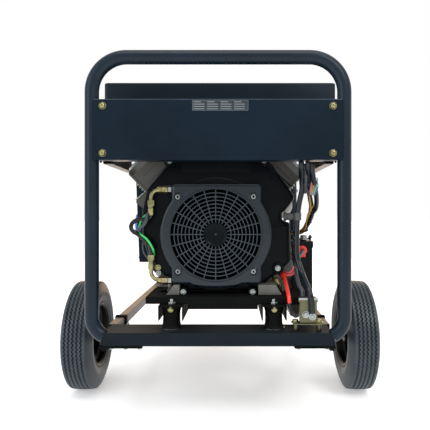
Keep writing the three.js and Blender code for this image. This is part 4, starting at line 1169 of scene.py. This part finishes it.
# Green wire tied along the hose, beside a grey sleeve
run("green_wire", [(-180, 88, 488), (-188, 84, 480), (-192, 83, 470), (-196, 87, 458), (-196, 85, 448),
                   (-189, 76, 441), (-174, 71, 430), (-162, 70, 412), (-158.5, 74, 401), (-160, 90, 390)],
    0.0027, GREEN, sides=14)
run("green_wire_sleeve", [(-172, 78, 492), (-175, 72, 486), (-175, 70, 476), (-181, 70, 465), (-190, 71, 457),
                          (-196, 78, 450)], 0.0042, GREY_CABLE, sides=16)
run("sensor_wire", [(-184, 84, 434), (-185, 78, 420), (-184, 74, 404), (-178, 74, 390), (-168, 84, 376)],
    0.0017, GREY_CABLE, sides=12)
bm = bmesh.new()
for d, x, z, turn in ((79, -205, 447, 0.6), (78.5, -180, 429, 0.8)):
    collar(bm, 0.0054, 0.0068, 0.003, spot_at(x, d, z), (math.sin(turn), 0, -math.cos(turn)), 24)
from_bmesh("hose_ties", bm, CABLE, "cable_black")

MAIN_RUN = [(190, 8, 610.5), (190, 9, 600), (195, 38, 571), (197, 50, 548), (190.5, 56, 512), (187, 62, 467),
            (186, 62, 417), (187, 60, 388), (191, 55, 370), (197, 43, 350), (203, 18, 330), (208, -2, 312),
            (212, -5, 290), (213.5, -5, 266.5)]
run("main_cable_sheath", MAIN_RUN, 0.0065, CABLE, "cable_black", ("main_cable",), 24)
run("battery_cable_sheath", [(214.5, 167.4, 396), (214.5, 156, 396), (206, 136, 390), (190, 96, 372),
                             (185, 64, 348), (188, 35, 325), (194, 19, 313), (194, 17, 301.5)], 0.0045,
    GREY_CABLE, "cable_black", ("battery_cable",))
STARTER_RUN = [(156, 138, 350), (158, 128, 347), (162, 100, 328), (163, 62, 313), (163, 24, 300),
               (165, 18, 280), (170, 14, 263), (177, 12, 257), (182, 12, 258.5), (184.3, 12, 259)]
path = route(STARTER_RUN, 0.002)
split = next(i for i, p in enumerate(path) if p.z < 0.281)
bm = bmesh.new()
tube(bm, path[:split + 1], 0.0045, 20)
from_bmesh("starter_cable_red", bm, RED, "red_cable", ("starter_cable",), 50)
bm = bmesh.new()
tube(bm, path[split:], 0.0041, 20)
tube(bm, path[split - 3:split + 4], 0.0054, 20)
from_bmesh("starter_cable_black", bm, CABLE, "cable_black", sharp=50)
bm = bmesh.new()
sleeve(bm, path, 0.03, 0.2, 0.0078)
lathe(bm, [(0, -0.011), (0.006, -0.011), (0.0088, -0.008), (0.0095, 0), (0.0088, 0.008), (0.006, 0.011),
           (0, 0.011)], spot_at(156.5, 131, 348), (0.3, -1, 0.1), 28)
from_bmesh("starter_boot", bm, RED, "red_rubber", sharp=40)

# Pink control wires of the starter solenoid
run("pink_wire_a", [(160, 122, 344), (168, 104, 340), (177, 92, 342), (183, 82, 350), (185, 76, 362)], 0.0026,
    PINK, sides=12)
run("pink_wire_b", [(160, 122, 349), (166, 108, 346), (173, 96, 347), (179, 88, 353), (182, 84, 364)], 0.002,
    PINK, sides=12)

# Control loom: two wrapped strands with yellow and grey wires laid along them
LOOM_RUN = [(205, 8, 610.5), (205, 9, 600), (211, 34, 575), (219, 72, 536), (227, 100, 506), (228, 150, 474),
            (226, 220, 448), (212, 290, 436), (185, 322, 437), (150, 322, 440), (111, 322, 440)]
run("control_loom", LOOM_RUN, 0.006, CABLE, "cable_black", ("control_harness",))
run("control_loom_second", [(214, 10, 606), (217, 16, 588), (224, 34, 562), (231, 52, 538), (235.5, 74, 518),
                            (236, 92, 504), (231, 108, 494), (228.5, 130, 480)], 0.0058, CABLE)
run("loom_yellow_wire", [(214, 66, 548), (217, 66, 532), (222, 82, 514), (224.5, 96, 500), (222.5, 128, 482),
                         (221, 160, 466), (218, 210, 449), (207, 270, 436), (192, 306, 433)], 0.0024, AMBER,
    sides=12)
run("loom_yellow_wire_low", [(230, 84, 512), (225, 92, 504), (220.5, 110, 490), (221, 140, 472),
                             (223, 190, 451), (214, 250, 437), (196, 296, 431)], 0.0022, AMBER, sides=12)
run("loom_grey_wire", [(207, 14, 604), (205, 26, 580), (207, 44, 556), (214, 60, 534)], 0.003, GREY_CABLE,
    sides=12)
run("loom_grey_strand", [(232, 96, 500), (232, 118, 484), (230, 150, 468), (228, 180, 456)], 0.0034,
    GREY_CABLE)
run("feed_wire_grey", [(199, 10, 606), (202, 24, 584), (204, 44, 556), (205, 52, 540)], 0.0026, GREY_CABLE,
    sides=12)
bm = bmesh.new()
for k, (x, d, z) in enumerate(((213, 44, 566), (227.5, 102, 503), (228, 150, 472), (226.5, 205, 450))):
    collar(bm, 0.0062, 0.0076, 0.0045, spot_at(x, d, z), (0.1 + 0.1 * k, 0.5, -1), 20)
from_bmesh("loom_ties", bm, CABLE, "cable_black")


def make_connector():
    """Multi-pole connector hanging in the loom, with four coloured wires."""
    bm = bmesh.new()
    place = Matrix.Translation((0.2225, back(40), 0.556)) @ Matrix.Rotation(math.radians(9), 4, "Y")
    block(bm, (-0.0075, -0.008, -0.0155), (0.0075, 0.008, 0.0155), place)
    block(bm, (-0.006, -0.0064, -0.02), (0.006, 0.0064, -0.015), place)
    from_bmesh("loom_connector", bm, GREY_PLASTIC, "engine_plastic", bevel=0.0016, segments=3)
    for k, (material, x) in enumerate(((RED, -0.0045), (AMBER, -0.001), (GREEN, 0.003), (BLUE, 0.0062))):
        bm = bmesh.new()
        start, end = place @ Vector((x, -0.0085, 0.012)), place @ Vector((x * 1.15, -0.0085, -0.012))
        swing = place @ Vector((x * 1.4 + 0.001, -0.0095, 0))
        tube(bm, smooth_path([place @ Vector((x, -0.002, 0.021)), start, swing, end,
                              place @ Vector((x, -0.002, -0.021))], 0.002), 0.001, 10)
        from_bmesh(f"connector_wire_{k}", bm, material)


make_connector()


def make_cable_clamp():
    """Clamp holding the main cable at the notch of the cowl."""
    bm = bmesh.new()
    lathe(bm, [(0, 0), (0.0085, 0), (0.0085, 0.015), (0.007, 0.017), (0, 0.017)], spot_at(156, 72, 485),
          (1, 0, 0), 32)
    nut_along(bm, spot_at(159, 72, 485), (1, 0, 0), 0.02, 0.006)
    collar(bm, 0.0068, 0.0086, 0.018, spot_at(188, 59.5, 476), (0, 0, 1), 32)
    block(bm, (0.17, back(64), 0.478), (0.18, back(67), 0.492))
    from_bmesh("cable_clamp", bm, DARK_CAST, "zinc", bevel=0.0008)


make_cable_clamp()


def make_drain_fitting():
    """Oil drain fitting and its plug below the starter."""
    bm = bmesh.new()
    nut_along(bm, spot_at(137, 118, 329), (0.5, -0.5, 0.4), 0.017, 0.014)
    nut_along(bm, spot_at(144, 110, 321), (0.6, -0.3, -0.9), 0.015, 0.016)
    rod(bm, 0.0062, 0.022, spot_at(147, 112, 318), (0.4, 0.2, -1), 24)
    from_bmesh("drain_fitting", bm, YELLOW_ZINC, "zinc", bevel=0.001)


make_drain_fitting()
turned("starter_nose", [(0, 0), (0.029, 0), (0.03, 0.004), (0.0295, 0.012), (0.024, 0.02), (0.014, 0.024),
                        (0, 0.025)], spot_at(156, 139.5, 362), (0, -1, 0), 48, DARK_CAST, "cast_alloy",
       sharp=40)


# --- Starter relay and battery --------------------------------------------------------------------


def make_relay():
    """Starter relay in its folded bracket, with studs, feet bolts and the lug of the main cable."""
    bm = bmesh.new()
    block(bm, (0.17, back(-4), 0.24), (0.237, back(30), 0.2425))
    block(bm, (0.186, back(4), 0.2425), (0.225, back(6.5), 0.3))
    block(bm, (0.186, back(4), 0.2975), (0.225, back(30), 0.3))
    block(bm, (0.1835, back(3.2), 0.29), (0.2275, back(6), 0.3))
    for x in (0.186, 0.2225):
        block(bm, (x, back(4), 0.2425), (x + 0.0025, back(16), 0.2975))
    for x in (177, 231):
        rod(bm, 0.006, 0.016, spot_at(x, 12, 224.8), (0, 0, 1), 24)
    from_bmesh("relay_bracket", bm, OLIVE_ZINC, "zinc", ("starter_relay",), 35, 0.0006)
    # Thin bright zinc skin on the front of the bracket's upper lip: a painted highlight.
    bm = bmesh.new()
    block(bm, (0.1835, back(2.4), 0.295), (0.2275, back(3.1), 0.3002))
    from_bmesh("relay_upper_lip_highlight", bm, ZINC, "zinc", bevel=0.0002, segments=1)
    # Turned over about X, so that 0.244 to 0.296 is counted down from its top
    upside_down = Matrix(((1, 0, 0, 0), (0, -1, 0, 0), (0, 0, -1, 0.54), (0, 0, 0, 1)))
    extruded("relay_case", rounded(0.1895, 0.2215, -back(29), -back(9), 0.005, 4), 0.244, 0.296, upside_down,
             ENAMEL, "zinc", bevel=0.001)
    fasteners("relay_side_stud", [(0.2, back(4) - 0.0002, 0.262)], (0, -1, 0), ZINC, head=0.0066,
              height=0.007, washer=0.0086)
    fasteners("relay_main_stud", [(0.2135, back(4) - 0.0002, 0.259)], (0, -1, 0), ZINC, head=0.0056,
              height=0.007, washer=0.0068)
    fasteners("relay_feet_bolts", [(0.177, back(12), 0.2426), (0.231, back(12), 0.2426)], (0, 0, 1),
              YELLOW_ZINC, head=0.0072, height=0.0058, washer=0.0105)
    bm = bmesh.new()
    collar(bm, 0.0056, 0.0082, 0.0018, spot_at(213.5, -5.5, 259), (0, 1, 0), 24)
    rod(bm, 0.0046, 0.01, spot_at(213.5, -5, 265.5), (0, 0, 1), 20)
    from_bmesh("main_cable_lug", bm, ZINC, "zinc")


make_relay()


def make_battery():
    """Ribbed case with vent plugs, terminal boot, hold-down strap and negative post."""
    low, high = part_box("battery")
    bm = bmesh.new()
    body_top = high.z - 0.018
    block(bm, (low.x + 0.002, low.y + 0.002, low.z + 0.0005), (high.x - 0.002, high.y - 0.002, body_top))
    block(bm, (low.x, low.y, body_top), (high.x, high.y, high.z - 0.001))
    for k in range(5):
        z = low.z + 0.026 + k * 0.032
        block(bm, (low.x + 0.01, low.y, z), (high.x - 0.01, low.y + 0.004, z + 0.002))
        block(bm, (high.x - 0.004, low.y + 0.012, z), (high.x, high.y - 0.012, z + 0.002))
        block(bm, (low.x, low.y + 0.012, z), (low.x + 0.004, high.y - 0.012, z + 0.002))
    for k in range(6):
        y = low.y + 0.02 + (high.y - low.y - 0.04) * k / 5
        lathe(bm, [(0, 0), (0.0085, 0), (0.0085, 0.0025), (0.007, 0.0032), (0, 0.0032)],
              Vector((high.x - 0.024, y, high.z - 0.0012)), (0, 0, 1), 24)
    from_bmesh("battery_case_moulded", bm, BATTERY_CASE, "battery_case", ("battery",), 35, 0.0012)
    refined("battery_boot", RED, 0.003, "red_rubber", 3)
    bm = bmesh.new()
    x0, x1 = low.x - 0.006, high.x + 0.006
    y = (low.y + high.y) / 2
    block(bm, (x0, y - 0.013, high.z + 0.0004), (x1, y + 0.013, high.z + 0.003))
    for x in (x0, x1 - 0.003):
        block(bm, (x, y - 0.013, high.z - 0.02), (x + 0.003, y + 0.013, high.z + 0.003))
    for x in (x0 + 0.001, x1 - 0.001):
        tube(bm, [Vector((x, y, low.z + 0.002)), Vector((x, y, high.z + 0.012))], 0.003, 16)
        nut_along(bm, Vector((x, y, high.z + 0.0055)), (0, 0, 1), 0.01, 0.005)
    from_bmesh("battery_holddown", bm, POWDER, "frame_paint", bevel=0.0006)
    turned("battery_negative_post", [(0, 0), (0.01, 0), (0.009, 0.014), (0.008, 0.015), (0, 0.015)],
           Vector((high.x - 0.022, low.y + 0.026, high.z - 0.001)), (0, 0, 1), 28, ZINC, "zinc")


make_battery()


# --- Fuel tank, cap and gauge ---------------------------------------------------------------------
tank_low, tank_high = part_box("fuel_tank")
SEAM_Z = 0.748
TANK_TOP = 0.824
CAP = Vector((0.15, back(430), TANK_TOP))
GAUGE = Vector((-0.06, back(430), TANK_TOP))
CAP_RIDGES = 28


def tank_shell(bm, inset, levels):
    """Rings of a rounded rectangle, each pulled in by its own amount, closed top and bottom."""
    rings = []
    for pull, z in levels:
        d = inset + pull
        outline = rounded(tank_low.x + d, tank_high.x - d, tank_low.y + d, tank_high.y - d,
                          max(0.004, 0.01 - pull * 0.6), 6)
        rings.append([bm.verts.new((x, y, z)) for x, y in outline])
    bridge(bm, rings)
    bm.faces.new(rings[0][::-1])
    bm.faces.new(rings[-1])


def edge_levels(z0, z1, r):
    """Levels of a wall from z0 to z1 that is rounded over at z1 (the far end)."""
    steps = 6
    s = 1 if z1 > z0 else -1
    return [(0, z0)] + [(r * (1 - math.cos(math.radians(90 * k / steps))),
                         z1 - s * r * (1 - math.sin(math.radians(90 * k / steps)))) for k in range(steps + 1)]


def make_tank():
    """Upper and lower pressings, the seam between them and stiffening beads across the top."""
    bm = bmesh.new()
    tank_shell(bm, 0.004, edge_levels(SEAM_Z, TANK_TOP, 0.004))
    tank_shell(bm, 0.01, edge_levels(SEAM_Z, 0.7, 0.006))
    tank_shell(bm, 0.0, [(0, SEAM_Z - 0.0014), (0, SEAM_Z + 0.0014)])
    for k in (0, 2, 3, 4):  # the second bead is left out, where the cap and gauge stand
        y = tank_low.y + 0.11 + k * 0.13
        prism(bm, rounded(-0.2, 0.2, y - 0.011, y + 0.011, 0.0105, 5), TANK_TOP - 0.002, TANK_TOP + 0.0022,
              Matrix.Identity(4))
    from_bmesh("fuel_tank_pressed", bm, TANK_PAINT, "tank_paint", ("fuel_tank",), 32)


make_tank()


def make_cap():
    """Filler neck and a ridged cap with a grip bar."""
    turned("filler_neck", [(0, -0.001), (0.03, -0.001), (0.03, 0.002), (0.0265, 0.0035), (0.0262, 0.0112),
                           (0.025, 0.012), (0, 0.012)], CAP, (0, 0, 1), 48, TANK_PAINT, "tank_paint",
           sharp=40)
    bm = bmesh.new()
    rings = []
    for r, z, wave in ((0.0345, 0.0123, 0), (0.0352, 0.013, 0.0007), (0.0352, 0.0255, 0.0007),
                       (0.033, 0.0285, 0.0003), (0.023, 0.0292, 0), (0.021, 0.0272, 0)):
        ring = []
        for k in range(CAP_RIDGES * 6):
            turn = 2 * math.pi * k / (CAP_RIDGES * 6)
            swing = math.cos(turn * CAP_RIDGES)
            rr = r + wave * math.copysign(min(1.0, abs(swing) * 2), swing)
            ring.append(bm.verts.new(CAP + Vector((rr * math.cos(turn), rr * math.sin(turn), z))))
        rings.append(ring)
    bridge(bm, rings)
    bm.faces.new(rings[-1])
    bm.faces.new(rings[0][::-1])
    block(bm, (CAP.x - 0.019, CAP.y - 0.004, CAP.z + 0.0265), (CAP.x + 0.019, CAP.y + 0.004, CAP.z + 0.03))
    from_bmesh("fuel_cap_ridged", bm, RUBBER, "cap_plastic", ("fuel_cap",), body="cap")


make_cap()


def make_gauge():
    """Fuel gauge with five marks and a pointer."""
    turned("gauge_bezel", [(0, 0), (0.019, 0), (0.019, 0.003), (0.0175, 0.004), (0.0165, 0.003), (0, 0.003)],
           GAUGE, (0, 0, 1), 48, RUBBER, "cap_plastic", sharp=40)
    bm = bmesh.new()
    rod(bm, 0.0158, 0.0003, GAUGE + Vector((0, 0, 0.0031)), (0, 0, 1), 40)
    from_bmesh("gauge_face", bm, WHITE_PLASTIC)
    bm = bmesh.new()
    for k in range(5):
        turn = math.radians(30 + 30 * k)
        at = GAUGE + Vector((0.0125 * math.cos(turn), 0.0125 * math.sin(turn), 0.0035))
        block(bm, (-0.0018, -0.0004, 0), (0.0018, 0.0004, 0.0002),
              Matrix.Translation(at) @ Matrix.Rotation(turn, 4, "Z"))
    pointer = Matrix.Translation(GAUGE + Vector((0, -0.003, 0.0036)))
    block(bm, (0, -0.0005, 0), (0.011, 0.0005, 0.0003), pointer @ Matrix.Rotation(math.radians(55), 4, "Z"))
    from_bmesh("gauge_marks", bm, CABLE)


make_gauge()


# --- Control panel on the left side ---------------------------------------------------------------
PANEL_Z0, PANEL_Z1, PANEL_X0, PANEL_X1 = 0.346, 0.604, -0.249, -0.259
LEAN = math.atan2(PANEL_X0 - PANEL_X1, PANEL_Z1 - PANEL_Z0)


def on_panel(d, z):
    """Frame on the leaning face: local Z points out, local Y along the frame, local X down the face."""
    share = (z - PANEL_Z0) / (PANEL_Z1 - PANEL_Z0)
    x = PANEL_X0 + share * (PANEL_X1 - PANEL_X0)
    return Matrix.Translation((x, back(d), z)) @ Matrix.Rotation(-math.pi / 2 - LEAN, 4, "Y")


def panel_out(d, z):
    """Frame, place and outward direction of a spot on the panel."""
    place = on_panel(d, z)
    return place, place.translation, out_of(place)


refined("control_panel", PANEL_PAINT, 0.0012, "frame_paint", 2)
refined("breaker_switch", GREY_PLASTIC, 0.0006, "cap_plastic", 2)
refined("ignition_key", ENAMEL, 0.0008, "steel", 2)


def make_socket(name, d, r, deep, material):
    """Flanged socket of radius r and depth deep, with three screws and three pins."""
    place, at, out = panel_out(d, 0.455)
    bm = bmesh.new()
    lathe(bm, [(0, 0.0003), (r + 0.005, 0.0003), (r + 0.005, 0.0045), (r + 0.0035, 0.0063), (r, 0.0063),
               (r - 0.0015, deep - 0.003), (r - 0.003, deep), (r - 0.008, deep), (r - 0.008, 0.005),
               (0, 0.005)], at, out, 64)
    for k in range(3):
        turn = math.radians(120 * k + 90)
        spot = place @ Vector(((r + 0.0015) * math.cos(turn), (r + 0.0015) * math.sin(turn), 0.0063))
        lathe(bm, [(0, -0.001), (0.0026, -0.001), (0.0022, 0.0014), (0, 0.0016)], spot, out, 14)
    from_bmesh(f"{name}_moulded", bm, material, name, (name,), 40)
    bm = bmesh.new()
    pin_circle, tip = (r - 0.008) * 0.52, deep * 0.45
    for k in range(3):
        turn = math.radians(120 * k + 30)
        spot = place @ Vector((pin_circle * math.cos(turn), pin_circle * math.sin(turn), 0.0051))
        lathe(bm, [(0, 0), (0.0032, 0), (0.0032, tip), (0.0024, tip + 0.001), (0, tip + 0.001)],
              spot, out, 16)
    from_bmesh(f"{name}_pins", bm, BRASS, "zinc")


make_socket("socket_blue", 400, 0.033, 0.009, BLUE)
make_socket("socket_black", 520, 0.025, 0.014, ENAMEL)


def make_meter():
    """Square meter with a printed scale and a pointer."""
    place, at, out = panel_out(470, 0.56)
    extruded("meter_case", rounded(-0.024, 0.024, -0.024, 0.024, 0.003, 4), 0.0002, 0.0085, place, ENAMEL,
             "cap_plastic", bevel=0.001)
    extruded("meter_scale", rounded(-0.0195, 0.017, -0.0205, 0.0205, 0.0015, 3), 0.0086, 0.0089, place,
             WHITE_PLASTIC)
    bm = bmesh.new()
    for k in range(11):
        turn = math.radians(140 + 8 * k)
        spot = place @ Matrix.Translation((0.014 + 0.026 * math.cos(turn), 0.026 * math.sin(turn), 0.009))
        block(bm, (-0.0022, -0.0002, 0), (0.0022 if k % 5 else 0.003, 0.0003, 0.0002),
              spot @ Matrix.Rotation(turn, 4, "Z"))
    pointer = place @ Matrix.Translation((0.014, 0, 0.0092)) @ Matrix.Rotation(math.radians(172), 4, "Z")
    block(bm, (0, -0.0004, 0), (0.029, 0.0004, 0.0003), pointer)
    from_bmesh("meter_marks", bm, CABLE)


def make_panel_fittings():
    """Pilot lamps, terminals, screws and louvres."""
    bm = bmesh.new()
    r = 0.008
    for d in (560, 590, 620):
        place, at, out = panel_out(d, 0.56)
        lathe(bm, [(0, 0), (r, 0), (r, 0.003), (r * 0.8, 0.004), (r * 0.75, 0.008), (r * 0.4, 0.0105),
                   (0, 0.011)], at, out, 28)
    from_bmesh("pilot_lamps", bm, RED, "red_rubber")
    for k, d in enumerate((600, 650)):
        place, at, out = panel_out(d, 0.455)
        turned(f"panel_terminal_{k}", [(0, 0), (0.0165, 0), (0.0165, 0.003), (0.011, 0.004), (0.01, 0.018),
                                       (0.0085, 0.02), (0, 0.02)], at, out, 36, RED if k else ENAMEL,
               "red_rubber" if k else "cap_plastic")
    bm = bmesh.new()
    for d in (378, 787):
        for z in (0.36, 0.475, 0.59):
            place, at, out = panel_out(d, z)
            fastener(bm, at, out, head=0.0045, height=0.003, washer=0.006, kind="round")
    from_bmesh("panel_screws", bm, ZINC, "zinc", sharp=40)
    bm = bmesh.new()
    for k in range(9):
        place, at, out = panel_out(440 + 36 * k, 0.385)
        prism(bm, rounded(-0.01, 0.01, -0.0022, 0.0022, 0.0021, 3), -0.0002, 0.0008, place)
    from_bmesh("panel_louvres", bm, ENAMEL, "frame_paint")


make_meter()
make_panel_fittings()


# --- Handles, feet and rear details -----------------------------------------------------------------
for side, s in (("left", -1), ("right", 1)):
    refined(f"handle_{side}", POWDER, 0.0008, "frame_paint", 2, 40)
    low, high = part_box(f"handle_grip_{side}")
    x, y = (low.x + high.x) / 2, (low.y + high.y) / 2
    height = high.z - low.z
    bm = bmesh.new()
    profile = [(0.013, 0.0), (0.0162, 0.0), (0.0166, 0.002)]
    for k in range(9):
        z = 0.012 + k * (height - 0.03) / 8
        profile += [(0.016, z), (0.0146, z + 0.002), (0.0146, z + 0.004), (0.016, z + 0.006)]
    profile += [(0.016, height - 0.004), (0.014, height - 0.0005), (0.013, height - 0.0005)]
    lathe(bm, profile, Vector((x, y, low.z)), (0, 0, 1), 40, closed=True)
    rod(bm, 0.0135, 0.004, Vector((x, y, low.z)), (0, 0, 1), 40)
    from_bmesh(f"handle_grip_{side}_ribbed", bm, RUBBER, "grip_rubber", (f"handle_grip_{side}",), 40,
               body=f"handle_{side}")
    low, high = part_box(f"rear_foot_{side}")
    x, y = (low.x + high.x) / 2, (low.y + high.y) / 2
    turned(f"rear_foot_{side}_moulded", [(0.01, 0), (0.024, 0), (0.026, 0.003), (0.0255, 0.012),
                                         (0.0235, 0.0195), (0.0215, 0.02), (0, 0.02)], Vector((x, y, 0)),
           (0, 0, 1), 48, RUBBER, "rubber", replaces=(f"rear_foot_{side}",), sharp=40)
    fasteners(f"pivot_bolt_{side}", [(s * POST_X + s * 0.0181, HANDLE_Y, PIVOT_Z)], (s, 0, 0), ZINC,
              head=0.008, height=0.0055, washer=0.0105)
